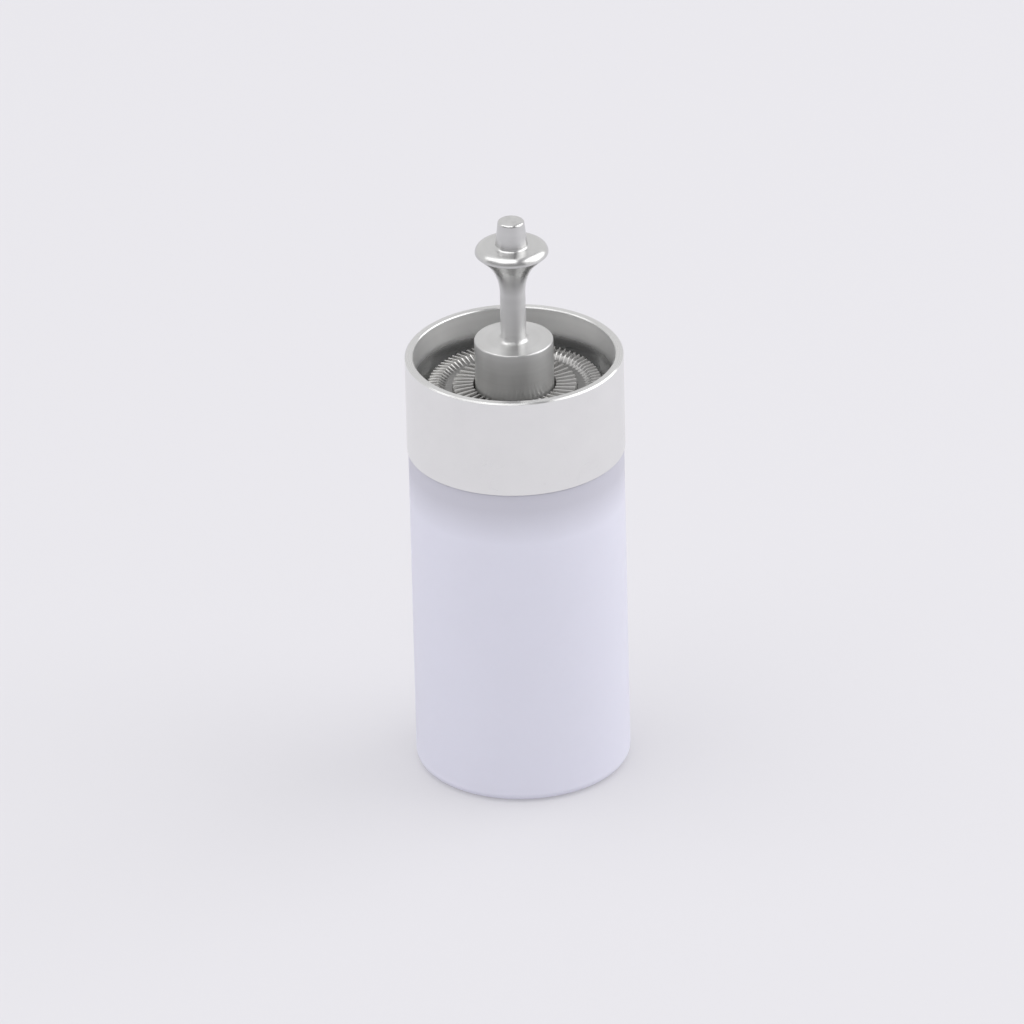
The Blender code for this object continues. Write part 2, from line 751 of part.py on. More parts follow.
def make_spindle(parent):
    hole_r = SHAFT_THREAD_R + FIT_GAP
    hole_top = SHAFT_TOP_Z + 0.5
    foot, bevel = 0.4, 0.25
    outline = [
        (0, hole_top),
        (hole_r, hole_top),
        (hole_r, BURR_Z),
        (BOSS_R - foot, BURR_Z),
        (BOSS_R, BURR_Z + foot),
        (BOSS_R, BOSS_TOP_Z - bevel),
        (BOSS_R - bevel, BOSS_TOP_Z),
    ]
    outline += arc((NECK_R + NECK_FILLET, BOSS_TOP_Z + NECK_FILLET), NECK_FILLET, 270, 180, 3)
    outline += disc_outline()
    outline += arc((STUB_FOOT_R + STUB_FILLET, DISC_TOP_Z + STUB_FILLET), STUB_FILLET, 270, 180, 2)
    outline += arc((STUB_R - STUB_EDGE_R, STUB_TOP_Z - STUB_EDGE_R), STUB_EDGE_R, 0, 90, 2)
    outline += [(0, STUB_TOP_Z)]
    spindle = place("spindle", turned_mesh("spindle", outline, MID), polished_steel(), parent)
    combine(spindle, "DIFFERENCE", pin_holes("boss", BURR_Z - 0.5, DRIVE_PIN_TOP_Z + 0.4))


def make_adjusting_dial(parent):
    """A knurled nut with two pockets in its top for the click balls and their springs."""
    columns = 2 * DIAL_KNURLS
    knurl, edge = 0.5, 0.6
    bore_r = SHAFT_THREAD_R + FIT_GAP

    def section(column):
        outer = DIAL_R - (knurl if column % 2 else 0)
        return [
            (bore_r, DIAL_Z),
            (DIAL_R - knurl - edge, DIAL_Z),
            (outer, DIAL_Z + edge),
            (outer, DIAL_TOP_Z - edge),
            (DIAL_R - knurl - edge, DIAL_TOP_Z),
            (bore_r, DIAL_TOP_Z),
        ]

    mesh = polar_mesh("adjusting_dial", section, columns)
    dial = place("adjusting_dial", mesh, machined_aluminium(), parent)
    pockets = []
    for index, (x, y) in enumerate(around(CLICK_R, 2)):
        pocket = rod_outline(CLICK_BALL_R + FIT_GAP, CLICK_POCKET_Z, DIAL_TOP_Z + 0.5)
        pockets.append(moved(turned_mesh(f"click_pocket_{index + 1}", pocket, FINE_PIN), (x, y, 0)))
    combine(dial, "DIFFERENCE", pockets)


def make_clicks(parent):
    """A ball on a small spring in each pocket of the dial, under the detent plate."""
    ball_z = PLATE_Z - FIT_GAP - CLICK_BALL_R
    wire_r = 0.13
    spring_low = CLICK_POCKET_Z + FIT_GAP + wire_r
    spring_height = ball_z - CLICK_BALL_R - FIT_GAP - wire_r - spring_low
    ball = ball_mesh("click_ball", CLICK_BALL_R, 8, 5)
    spring = helix_mesh("click_spring", 0.55, wire_r, spring_height, 3.0, 8, 4)
    for index, (x, y) in enumerate(around(CLICK_R, 2)):
        place(f"click_ball_{index + 1}", ball, bearing_steel(), parent, (x, y, ball_z))
        place(f"click_spring_{index + 1}", spring, spring_steel(), parent, (x, y, spring_low))


def main():
    for thing in list(bpy.data.objects):
        bpy.data.objects.remove(thing)

    jar = axis_empty("jar_axis", 0)
    seal = axis_empty("head_lift_axis", COLLAR_Z, jar)
    head = axis_empty("head_turn_axis", COLLAR_Z, seal)
    core = axis_empty("spindle_turn_axis", LOWER_BEARING_Z, head)
    rotor = axis_empty("rotor_lift_axis", LOWER_BEARING_Z, core)
    dial = axis_empty("dial_turn_axis", DIAL_Z, core)
    cages = {
        "upper": axis_empty("upper_cage_axis", UPPER_BEARING_Z, head),
        "lower": axis_empty("lower_cage_axis", LOWER_BEARING_Z, head),
    }

    make_jar(jar)
    make_seal_ring(seal)
    make_collar(head)
    make_bearing_carrier(head)
    make_carrier_lock_ring(head)
    make_races(head, core)
    make_ball_cages(cages)
    make_bearing_circlip(head)
    make_core_rings(core)
    make_detent_plate(core)
    make_lift_spring(core)
    make_drive_shaft(rotor)
    make_stop(rotor)
    make_burr_carrier(rotor)
    make_drive_pins(rotor)
    make_burr_screws(rotor)
    make_lower_burr(rotor)
    make_spindle(rotor)
    make_adjusting_dial(dial)
    make_clicks(dial)


main()
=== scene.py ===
"""Looks of the lower half of a flat-burr hand coffee grinder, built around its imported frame.

Outlines are (radius, height) in millimetres, and become metres where a mesh is made. Z runs up the one axis
that everything turns on. Radii and heights of whole pieces come from the frame. The constants below are the
details inside them.
"""

import json
import math

import bmesh
import bpy
from mathutils import Matrix, Vector

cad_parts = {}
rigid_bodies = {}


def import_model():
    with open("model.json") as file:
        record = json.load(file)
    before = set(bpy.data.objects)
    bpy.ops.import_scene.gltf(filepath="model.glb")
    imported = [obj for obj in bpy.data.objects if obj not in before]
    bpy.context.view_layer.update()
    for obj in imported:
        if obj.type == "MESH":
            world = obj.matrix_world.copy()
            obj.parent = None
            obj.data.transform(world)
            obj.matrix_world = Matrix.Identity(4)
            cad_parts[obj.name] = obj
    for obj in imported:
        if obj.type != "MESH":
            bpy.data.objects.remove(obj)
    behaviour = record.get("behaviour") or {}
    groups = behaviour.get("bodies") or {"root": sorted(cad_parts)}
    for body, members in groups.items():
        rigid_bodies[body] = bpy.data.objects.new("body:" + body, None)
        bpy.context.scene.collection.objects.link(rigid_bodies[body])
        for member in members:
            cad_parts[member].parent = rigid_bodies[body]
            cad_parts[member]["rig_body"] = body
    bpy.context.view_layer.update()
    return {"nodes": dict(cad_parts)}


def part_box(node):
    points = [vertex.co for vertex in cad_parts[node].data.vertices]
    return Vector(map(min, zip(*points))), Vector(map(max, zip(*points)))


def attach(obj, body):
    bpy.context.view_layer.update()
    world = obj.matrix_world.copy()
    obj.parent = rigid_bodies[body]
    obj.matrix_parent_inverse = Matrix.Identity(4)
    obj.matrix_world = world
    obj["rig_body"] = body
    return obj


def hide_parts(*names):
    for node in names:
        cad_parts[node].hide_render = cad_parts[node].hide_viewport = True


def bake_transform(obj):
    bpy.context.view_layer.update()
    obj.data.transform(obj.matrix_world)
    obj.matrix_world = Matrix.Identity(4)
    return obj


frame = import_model()

MM = 0.001
TAU = 2 * math.pi

# Facets round the axis, on wide pieces and on narrow ones
WIDE, NARROW = 144, 96

# Jar
JAR_WALL = 2.2
JAR_FLOOR = 3.2
JAR_FOOT = 2.5
JAR_RECESS_R = 19.5
JAR_RECESS = 0.6
JAR_HOLLOW = 3.0
JAR_LIP = 0.15
SEAM_CLOSED = 0.22  # how far the jar's lip stands up into the gap that the solids keep

# Collar
COLLAR_WALL = 1.95
RIM_CHAMFER = 0.35
RIM_BEVEL = 0.24  # on the inner edge
MATT_BORE = (99.8, 102.2, 0.2, (0.88, 0.68))  # the bore's upper half; turned_metal says what it holds
SPIGOT_R = 22.4
BORE_R = 20.5
FUNNEL_TOP_Z = 92.5
FUNNEL_BOTTOM_Z = 87.5
LEDGE_Z = 80.6
LEDGE_R = 18.7
GASKET_GROOVE_INNER_R = 23.6
GASKET_GROOVE_OUTER_R = 25.2
GASKET_GROOVE_DEPTH = 1.2

# Thread between the jar and the collar
THREAD_LEAD = 3.0
THREAD_DEPTH = 0.8
THREAD_EMBED = 0.3
THREAD_START = 1.4  # above the spigot's end
# Half of the ridge's section: the share of its depth, and the height above its middle
HALF_RIDGE = ((1, 0.15), (0.94, 0.36), (0.72, 0.52), (0, 0.85))

# Bearings and their carrier
FIT_GAP = 0.15
BEARING_BORE_R = 3.0
BALL_COUNT = 6
BALL_R = 0.75
BALL_PITCH_R = 4.9
HUB_R = 8.6
HUB_LIP_R = 5.7
CIRCLIP_GROOVE_R = 7.1
CIRCLIP_GROOVE_Z = 76.75, 77.85
HUB_RING_INNER_R = 18.3
HUB_RING_Z = 80.9
HUB_RING_HEIGHT = 4.0
ARM_COUNT = 3
ARM_WIDTH = 5.0

# Shaft and grind adjustment
SHAFT_R = 2.85
SHAFT_THREAD_R = 2.5
SHAFT_PITCH = 0.8
FLANGE_Z = 92.9
FLANGE_TOP_Z = 94.1
SEAT_END_Z = 74.5
FLATS_Z = 71.9
FLATS_TOP_Z = 76.95
FLAT_HALF = 2.3
DIAL_KNURLS = 20
KNURL_DEPTH = 0.5
CLICK_POCKET_Z = 70.9
PLATE_GROOVES = 18
STOP_SCREW_HOLE_R = 1.35

# Rotor
BURR_BORE_R = 9.9
BREAKER_R = 14.7
GROOVE_R = 17.0
FINISHING_R = 18.2
BREAKER_TEETH = 44
TOOTH_LEAN = math.radians(8)
SPRING_POCKET_R = 6.9
SPRING_POCKET_Z = 94.35
DRIVE_PIN_Z = 93.5
DRIVE_PIN_HOLE_R = 1.15
DRIVE_PIN_HOLE_TOP_Z = 98.8

# Spindle
BOSS_TOP_Z = 111.7
BOSS_BEVEL = 0.42
MATT_NECK = (131.0, 126.0, 0.09, (1.0, 0.93))  # the neck and the boss, downwards
NECK_R = 3.04
NECK_FILLET = 1.25
FLARE_Z = 124.1
FLARE_R = 12.4
FLARE_END = 38.5  # degrees of the flare's arc
DISC_R = 8.75
DISC_Z = 134.8  # where the disc is widest
DISC_ROUND_R = 1.9
DISC_TOP_Z = 136.5
DISC_EDGE_R = 0.2
STUB_FOOT_R = 3.8
STUB_R = 3.2
STUB_FILLET = 0.6
STUB_EDGE_R = 0.6


# ---------------------------------------------------------------- materials


class Finish:
    """A Principled material, with nodes that vary it in its object's own coordinates, in metres.

    The colour and the roughness that it starts from are its plain average, for whatever reads no nodes.
    """

    def __init__(self, name, colour, roughness, metallic=0.0):
        self.material = bpy.data.materials.new(name)
        self.material.use_nodes = True
        self.tree = self.material.node_tree
        self.shader = self.tree.nodes["Principled BSDF"]
        self.set("Base Color", (*colour, 1.0))
        self.set("Roughness", roughness)
        self.set("Metallic", metallic)
        self.place = self.add("ShaderNodeTexCoord").outputs["Object"]

    def set(self, socket, value):
        self.shader.inputs[socket].default_value = value

    def add(self, kind, **settings):
        node = self.tree.nodes.new(kind)
        for name, value in settings.items():
            setattr(node, name, value)
        return node

    def feed(self, node, socket, value):
        """Gives a node's input a constant or another node's output."""
        if isinstance(value, bpy.types.NodeSocket):
            self.tree.links.new(value, node.inputs[socket])
        else:
            node.inputs[socket].default_value = value

    def math(self, operation, first, second):
        node = self.add("ShaderNodeMath", operation=operation)
        self.feed(node, 0, first)
        self.feed(node, 1, second)
        return node.outputs[0]

    def stretched(self, vector, factors):
        node = self.add("ShaderNodeVectorMath", operation="MULTIPLY")
        self.feed(node, 0, vector)
        self.feed(node, 1, factors)
        return node.outputs[0]

    def rings(self):
        """Coordinates that keep the radius and the height and drop the angle, as marks of a lathe do."""
        parts = self.add("ShaderNodeSeparateXYZ")
        self.feed(parts, 0, self.place)
        flat = self.add("ShaderNodeVectorMath", operation="LENGTH")
        self.feed(flat, 0, self.stretched(self.place, (1, 1, 0)))
        joined = self.add("ShaderNodeCombineXYZ")
        self.feed(joined, 0, flat.outputs["Value"])
        self.feed(joined, 2, parts.outputs[2])
        return joined.outputs[0]

    def height(self):
        parts = self.add("ShaderNodeSeparateXYZ")
        self.feed(parts, 0, self.place)
        return parts.outputs[2]

    def noise(self, scale, vector=None, detail=3.0, rough=0.55):
        node = self.add("ShaderNodeTexNoise")
        self.feed(node, "Vector", vector or self.place)
        self.feed(node, "Scale", scale)
        self.feed(node, "Detail", detail)
        self.feed(node, "Roughness", rough)
        return node.outputs["Fac"]

    def ramp(self, value, low, high, to_low, to_high):
        node = self.add("ShaderNodeMapRange")
        for socket, number in enumerate((value, low, high, to_low, to_high)):
            self.feed(node, socket, number)
        return node.outputs[0]

    def scratches(self, scale, threshold):
        """Thin random lines, 1 on a line and 0 off it."""
        cells = self.add("ShaderNodeTexVoronoi", feature="DISTANCE_TO_EDGE")
        warped = self.stretched(self.place, (1.0, 0.35, 0.22))
        self.feed(cells, "Vector", warped)
        self.feed(cells, "Scale", scale)
        return self.ramp(cells.outputs["Distance"], 0.0, threshold, 1.0, 0.0)

    def colours(self, value, dark, light):
        mix = self.add("ShaderNodeMix", data_type="RGBA")
        self.feed(mix, 0, value)
        mix.inputs[6].default_value = (*dark, 1.0)
        mix.inputs[7].default_value = (*light, 1.0)
        self.tree.links.new(mix.outputs[2], self.shader.inputs["Base Color"])

    def roughness(self, value):
        self.tree.links.new(value, self.shader.inputs["Roughness"])

    def bumps(self, *layers):
        """Height layers, each a (value, depth in metres) pair, one over the other."""
        normal = None
        for value, depth in layers:
            node = self.add("ShaderNodeBump")
            self.feed(node, "Height", value)
            self.feed(node, "Distance", depth)
            if normal:
                self.feed(node, "Normal", normal)
            normal = node.outputs["Normal"]
        self.tree.links.new(normal, self.shader.inputs["Normal"])


def frosted_plastic():
    """Milky lavender polypropylene with a fine matt grain, and painted shade that greys it towards the
    collar, where the spigot behind the wall keeps the light out.
    """
    finish = Finish("frosted_plastic", (0.84, 0.84, 0.945), 0.5)
    finish.set("Transmission Weight", 0.2)
    finish.set("IOR", 1.46)
    finish.set("Specular IOR Level", 0.4)
    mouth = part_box("collar")[0].z
    cloud = finish.ramp(finish.noise(70.0, detail=4.0), 0.3, 0.7, -0.04, 0.04)
    # Painted shade: the share of light is 1 from 8 mm under the collar's mouth downwards, and falls to 0 at
    # about the mouth, where the colour turns to the darker grey.
    lit = finish.ramp(finish.height(), mouth - 8 * MM, mouth + 1 * MM, 1.0, 0.0)
    finish.colours(finish.math("ADD", cloud, lit), (0.66, 0.655, 0.735), (0.84, 0.84, 0.945))
    grain = finish.noise(2600.0, detail=2.0)
    scuffs = finish.scratches(900.0, 0.02)
    finish.bumps((finish.noise(160.0), 5e-5), (grain, 1e-5), (scuffs, -2e-6))
    return finish.material


def satin_aluminium():
    """Bead-blasted and anodised: a fine even grain, with faint scuffs and smudges."""
    finish = Finish("satin_aluminium", (0.84, 0.838, 0.83), 0.34, 1.0)
    cloud = finish.noise(90.0, detail=4.0)
    finish.colours(finish.ramp(cloud, 0.3, 0.7, 0.0, 1.0), (0.815, 0.813, 0.806), (0.85, 0.848, 0.84))
    scuffs = finish.scratches(700.0, 0.015)
    even = finish.ramp(cloud, 0.3, 0.7, 0.31, 0.37)
    finish.roughness(finish.math("SUBTRACT", even, finish.math("MULTIPLY", scuffs, 0.06)))
    finish.bumps((finish.noise(5200.0, detail=2.0), 3e-6), (scuffs, -1.5e-6))
    return finish.material


def turned_metal(name, colour, roughness, mark_depth, mark_scale=4200.0, across=0.0, matt=None):
    """Metal from a lathe: rings of fine tool marks, and a tone that drifts a little from ring to ring.

    The rings spread its reflections across themselves, by the share across. Matt is given where the surface
    fades into a matt one. It holds the heights in millimetres where that begins and is complete, the extra
    roughness, and the metallic shares before and after.
    """
    finish = Finish(name, colour, roughness, 1.0)
    finish.set("Anisotropic", across)
    finish.set("Anisotropic Rotation", 0.25)
    tangent = finish.add("ShaderNodeTangent", direction_type="RADIAL", axis="Z")
    finish.tree.links.new(tangent.outputs[0], finish.shader.inputs["Tangent"])
    rings = finish.rings()
    marks = finish.noise(mark_scale, rings, detail=4.0, rough=0.7)
    bands = finish.noise(600.0, rings, detail=2.0)
    smudges = finish.noise(120.0, detail=3.0)
    dark = tuple(0.95 * channel for channel in colour)
    finish.colours(finish.ramp(bands, 0.3, 0.7, 0.0, 1.0), dark, colour)
    varied = finish.math("ADD", finish.ramp(smudges, 0.3, 0.7, -0.025, 0.025), roughness)
    if matt:
        begins, complete, extra, metallic = matt
        share = finish.ramp(finish.height(), begins * MM, complete * MM, 0.0, 1.0)
        varied = finish.math("ADD", varied, finish.math("MULTIPLY", share, extra))
        finish.tree.links.new(finish.ramp(share, 0.0, 1.0, *metallic), finish.shader.inputs["Metallic"])
    finish.roughness(finish.math("ADD", varied, finish.ramp(marks, 0.3, 0.7, -0.02, 0.02)))
    finish.bumps((marks, mark_depth), (finish.scratches(800.0, 0.012), -mark_depth))
    return finish.material


def burr_steel():
    """Ground tool steel, rougher down in the valleys, with painted shade that darkens the valleys and leaves
    the lands bright.
    """
    finish = Finish("burr_steel", (0.5, 0.5, 0.5), 0.3, 1.0)
    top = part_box("lower_burr")[1].z
    depth = finish.ramp(finish.height(), top - 1.6 * MM, top - 0.02 * MM, 0.0, 1.0)
    grain = finish.noise(5200.0, detail=4.0)
    # Painted shade: dark down in the valleys and bright on the lands, with a fine random grain over it.
    valley_shade_and_grain = finish.math("MULTIPLY", depth, finish.ramp(grain, 0.25, 0.6, 0.86, 1.0))
    finish.colours(valley_shade_and_grain, (0.16, 0.158, 0.156), (0.56, 0.555, 0.545))
    finish.roughness(finish.ramp(depth, 0.0, 1.0, 0.42, 0.24))
    finish.bumps((grain, 2e-6))
    return finish.material


def spring_steel():
    """Drawn wire and stamped plate, with a blue-grey tint and lengthwise drawing marks."""
    finish = Finish("spring_steel", (0.46, 0.47, 0.51), 0.26, 1.0)
    tint = finish.noise(400.0, detail=3.0)
    finish.colours(finish.ramp(tint, 0.3, 0.7, 0.0, 1.0), (0.4, 0.41, 0.46), (0.52, 0.53, 0.56))
    marks = finish.noise(9000.0, finish.rings(), detail=3.0)
    finish.roughness(finish.ramp(marks, 0.3, 0.7, 0.2, 0.34))
    finish.bumps((marks, 1.5e-6))
    return finish.material


def black_oxide():
    """Blackened screws, with the oxide rubbed to a brown-grey in places."""
    finish = Finish("black_oxide", (0.05, 0.05, 0.055), 0.42, 1.0)
    rubbed = finish.noise(1800.0, detail=4.0)
    finish.colours(finish.ramp(rubbed, 0.5, 0.75, 0.0, 1.0), (0.045, 0.045, 0.05), (0.14, 0.13, 0.125))
    finish.roughness(finish.ramp(rubbed, 0.3, 0.7, 0.48, 0.34))
    finish.bumps((finish.noise(7000.0), 2e-6))
    return finish.material


def silicone():
    """A milky gasket with a matt, slightly dusty skin."""
    finish = Finish("silicone", (0.82, 0.83, 0.85), 0.62)
    dust = finish.noise(900.0, detail=5.0)
    finish.colours(finish.ramp(dust, 0.35, 0.7, 0.0, 1.0), (0.78, 0.79, 0.82), (0.86, 0.865, 0.87))
    finish.roughness(finish.ramp(dust, 0.3, 0.7, 0.55, 0.72))
    finish.bumps((finish.noise(5000.0), 4e-6))
    return finish.material


FINISHES = {
    "frosted_plastic": frosted_plastic(),
    "satin_aluminium": satin_aluminium(),
    "bored_aluminium": turned_metal(
        "bored_aluminium", (0.9, 0.9, 0.895), 0.19, 3e-7, across=0.4, matt=MATT_BORE
    ),
    "faced_aluminium": turned_metal("faced_aluminium", (0.7, 0.7, 0.695), 0.27, 5e-7, across=0.85),
    "machined_aluminium": turned_metal(
        "machined_aluminium", (0.62, 0.625, 0.63), 0.36, 4e-6, mark_scale=2600.0
    ),
    "polished_steel": turned_metal(
        "polished_steel", (0.645, 0.645, 0.64), 0.25, 3e-7, across=0.86, matt=MATT_NECK
    ),
    "bearing_steel": turned_metal("bearing_steel", (0.62, 0.62, 0.64), 0.13, 8e-7),
    "burr_steel": burr_steel(),
    "spring_steel": spring_steel(),
    "black_oxide": black_oxide(),
    "silicone": silicone(),
}


# ---------------------------------------------------------------- shapes


def span(node):
    """A round node's radius, lowest and highest height, in millimetres."""
    low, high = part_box(node)
    return (high.x - low.x) / 2 / MM, low.z / MM, high.z / MM


def middle(node):
    """The centre of a node's box, across the axis, in millimetres."""
    low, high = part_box(node)
    return (low.x + high.x) / 2 / MM, (low.y + high.y) / 2 / MM


def arc(centre, radius, first, last, steps):
    points = []
    for step in range(steps + 1):
        angle = math.radians(first + (last - first) * step / steps)
        points.append((centre[0] + radius * math.cos(angle), centre[1] + radius * math.sin(angle)))
    return points


def rounded_corner(before, corner, after, radius):
    """An arc in place of a corner, with a point before and after it that keeps the flats' shading flat."""
    steps = 4
    corner = Vector(corner)
    back, on = Vector(before) - corner, Vector(after) - corner
    half = back.angle(on) / 2
    reach = min(radius / math.tan(half), 0.4 * back.length, 0.4 * on.length)
    radius = reach * math.tan(half)
    back.normalize()
    on.normalize()
    centre = corner + (back + on).normalized() * radius / math.sin(half)
    start, end = corner + back * reach - centre, corner + on * reach - centre
    turn = start.angle_signed(end)
    points = [corner + back * reach * 1.2]
    for step in range(steps + 1):
        points.append(centre + Matrix.Rotation(-turn * step / steps, 2) @ start)
    points.append(corner + on * reach * 1.2)
    return [tuple(p) for p in points]


def softened(outline, radius, closed):
    """The outline with its sharp corners rounded. Corners on the axis and points along arcs stay."""
    points = []
    count = len(outline)
    for k, here in enumerate(outline):
        at_end = not closed and k in (0, count - 1)
        before, after = outline[k - 1], outline[(k + 1) % count]
        if at_end or here[0] <= 0:
            points.append(here)
            continue
        bend = (Vector(before) - Vector(here)).angle(Vector(after) - Vector(here))
        if bend > math.radians(160):
            points.append(here)
        else:
            points += rounded_corner(before, here, after, radius)
    return points


def polar_point(radius, angle, height):
    return Vector((radius * math.cos(angle), radius * math.sin(angle), height)) * MM


def finished_mesh(name, bm, sharp=35):
    bmesh.ops.remove_doubles(bm, verts=bm.verts, dist=1e-8)
    bmesh.ops.recalc_face_normals(bm, faces=bm.faces)
    mesh = bpy.data.meshes.new(name)
    bm.to_mesh(mesh)
    bm.free()
    mesh.shade_smooth()
    mesh.set_sharp_from_angle(angle=math.radians(sharp))
    return mesh


def turned(name, outline, segments=WIDE, edge=0.12):
    """A solid of revolution, with its sharp corners rounded to the edge radius."""
    closed = outline[0][0] > 0
    points = softened(outline, edge, closed) if edge else outline
    bm = bmesh.new()
    verts = [bm.verts.new((radius * MM, 0, height * MM)) for radius, height in points]
    pairs = zip(verts, verts[1:] + verts[:1])
    edges = [bm.edges.new(pair) for pair in pairs if max(v.co.x for v in pair) > 0]
    bmesh.ops.spin(
        bm, geom=verts + edges, cent=(0, 0, 0), axis=(0, 0, 1), angle=TAU, steps=segments, use_merge=True
    )
    return finished_mesh(name, bm)


def skin_loops(bm, loops, full, ring):
    """Quads between neighbouring loops. A row that isn't full gets an end cap on each side."""
    following = loops[1:] + loops[:1] if full else loops[1:]
    for here, there in zip(loops, following):
        for k in range(len(here) if ring else len(here) - 1):
            n = (k + 1) % len(here)
            bm.faces.new((here[k], here[n], there[n], there[k]))
    if not full:
        bm.faces.new(loops[0])
        bm.faces.new(loops[-1])


def polar(name, section, columns, lean=None, sweep=TAU):
    """A shape whose (radius, height) section changes from column to column.

    A section is a closed loop, or it starts and ends on the axis. lean(radius) is an angle about the axis,
    added to a point's own.
    """
    bm = bmesh.new()
    full = math.isclose(sweep, TAU)
    loops = []
    for column in range(columns if full else columns + 1):
        turn = sweep * column / columns
        loop = [
            bm.verts.new(polar_point(radius, turn + (lean(radius) if lean else 0), height))
            for radius, height in section(column)
        ]
        loops.append(loop)
    skin_loops(bm, loops, full, ring=section(0)[0][0] > 0)
    return finished_mesh(name, bm)


def coil(name, radius, wire_r, height, turns, steps_per_turn=40, sides=12):
    """A compression spring with closed ends: the wire climbs little on its first and last half turn."""
    bm = bmesh.new()
    steps = round(turns * steps_per_turn)
    loops = []
    for step in range(steps + 1):
        share = step / steps
        climb = share - 0.6 * math.sin(TAU * share) / TAU
        loop = []
        for side in range(sides):
            roll = TAU * side / sides
            reach = radius + wire_r * math.cos(roll)
            z = height * climb + wire_r * math.sin(roll)
            loop.append(bm.verts.new(polar_point(reach, TAU * turns * share, z)))
        loops.append(loop)
    skin_loops(bm, loops, full=False, ring=True)
    return finished_mesh(name, bm, sharp=50)


def thread_ridge(name, wall_r, crest_r, start_z, start_angle):
    """One turn of a rounded right-hand thread ridge, which sinks into the round wall at both ends."""
    bm = bmesh.new()
    outward = math.copysign(1, crest_r - wall_r)
    root_r = wall_r - outward * THREAD_EMBED
    hidden_r = wall_r - outward * THREAD_EMBED / 2
    steps, run_out = 100, 10
    profile = [(share, -offset) for share, offset in reversed(HALF_RIDGE)] + list(HALF_RIDGE)
    loops = []
    for step in range(steps + 1):
        rise = min(step, steps - step, run_out) / run_out
        reach = hidden_r + (crest_r - hidden_r) * math.sin(rise * math.pi / 2)
        angle = start_angle + TAU * step / steps
        z = start_z + THREAD_LEAD * step / steps
        loop = []
        for share, offset in profile:
            loop.append(bm.verts.new(polar_point(root_r + (reach - root_r) * share, angle, z + offset)))
        loops.append(loop)
    skin_loops(bm, loops, full=False, ring=True)
    return finished_mesh(name, bm)


def screw_thread(low, high, crest_r, depth, pitch, turn, samples=6):
    """Points up a fine threaded wall at one angle of the turn, with plain ends a quarter pitch high."""
    count = max(2, round((high - low) / pitch * samples))
    points = []
    for k in range(count + 1):
        z = low + (high - low) * k / count
        phase = ((z - low) / pitch - turn / TAU) % 1
        groove = max(0.0, 1 - abs(phase - 0.5) / 0.36)
        fade = min(1.0, (z - low) / pitch * 2, (high - z) / pitch * 2)
        points.append((crest_r - depth * groove * fade, z))
    return points


def hex_radius(across_flats, column, columns):
    """Distance from the axis to the side of a hexagon, at a column's angle."""
    off_flat = (360 * column / columns + 30) % 60 - 30
    return across_flats / 2 / math.cos(math.radians(off_flat))


def box_mesh(name, size, centre, edge):
    bm = bmesh.new()
    bmesh.ops.create_cube(bm, size=1.0)
    bmesh.ops.scale(bm, vec=Vector(size) * MM, verts=bm.verts)
    bmesh.ops.bevel(bm, geom=bm.edges[:], offset=edge * MM, segments=3, affect="EDGES", profile=0.5)
    bmesh.ops.translate(bm, vec=Vector(centre) * MM, verts=bm.verts)
    return finished_mesh(name, bm)


def ball_mesh(name, radius, centre, segments=40):
    bm = bmesh.new()
    bmesh.ops.create_uvsphere(bm, u_segments=segments, v_segments=segments // 2, radius=radius * MM)
    bmesh.ops.translate(bm, vec=Vector(centre) * MM, verts=bm.verts)
    return finished_mesh(name, bm)


def rectangle(inner, outer, low, high):
    """The outline of a plain ring or, from the axis, of a plain disc."""
    return [(inner, low), (outer, low), (outer, high), (inner, high)]


def moved(mesh, centre, turn=0.0):
    mesh.transform(Matrix.Translation(Vector(centre) * MM) @ Matrix.Rotation(turn, 4, "Z"))
    return mesh


def around(radius, count, first=0.0):
    """Points spaced evenly on a circle about the axis."""
    for index in range(count):
        angle = first + TAU * index / count
        yield radius * math.cos(angle), radius * math.sin(angle)


def combined(mesh, operation, others):
    """The mesh after an exact Boolean with each of the others."""
    target = bpy.data.objects.new("target", mesh)
    helpers = [bpy.data.objects.new(other.name, other) for other in others]
    for thing in [target, *helpers]:
        bpy.context.scene.collection.objects.link(thing)
    for helper in helpers:
        modifier = target.modifiers.new(helper.name, "BOOLEAN")
        modifier.operation = operation
        modifier.solver = "EXACT"
        modifier.object = helper
    evaluated = target.evaluated_get(bpy.context.evaluated_depsgraph_get())
    made = bpy.data.meshes.new_from_object(evaluated)
    made.name = mesh.name
    for thing in [target, *helpers]:
        bpy.data.objects.remove(thing)
    made.shade_smooth()
    made.set_sharp_from_angle(angle=math.radians(35))
    return made


def numbered_holes(kind, count, outline, segments):
    """A turned cutter on the middle of each of a kind's numbered nodes."""
    holes = []
    for index in range(1, count + 1):
        hole = turned(f"{kind}_hole_{index}", outline, segments, edge=0)
        holes.append(moved(hole, (*middle(f"{kind}_{index}"), 0)))
    return holes


def show(node, mesh, finish, rides=True):
    """Puts a mesh in place of a CAD node. It rides on the node's body, unless rides is false, and then on
    none.
    """
    piece = bpy.data.objects.new(f"{node}_look", mesh)
    bpy.context.scene.collection.objects.link(piece)
    mesh.materials.clear()
    mesh.materials.append(FINISHES[finish])
    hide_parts(node)
    if rides:
        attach(piece, frame["nodes"][node]["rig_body"])
    return piece


# ---------------------------------------------------------------- jar and seal


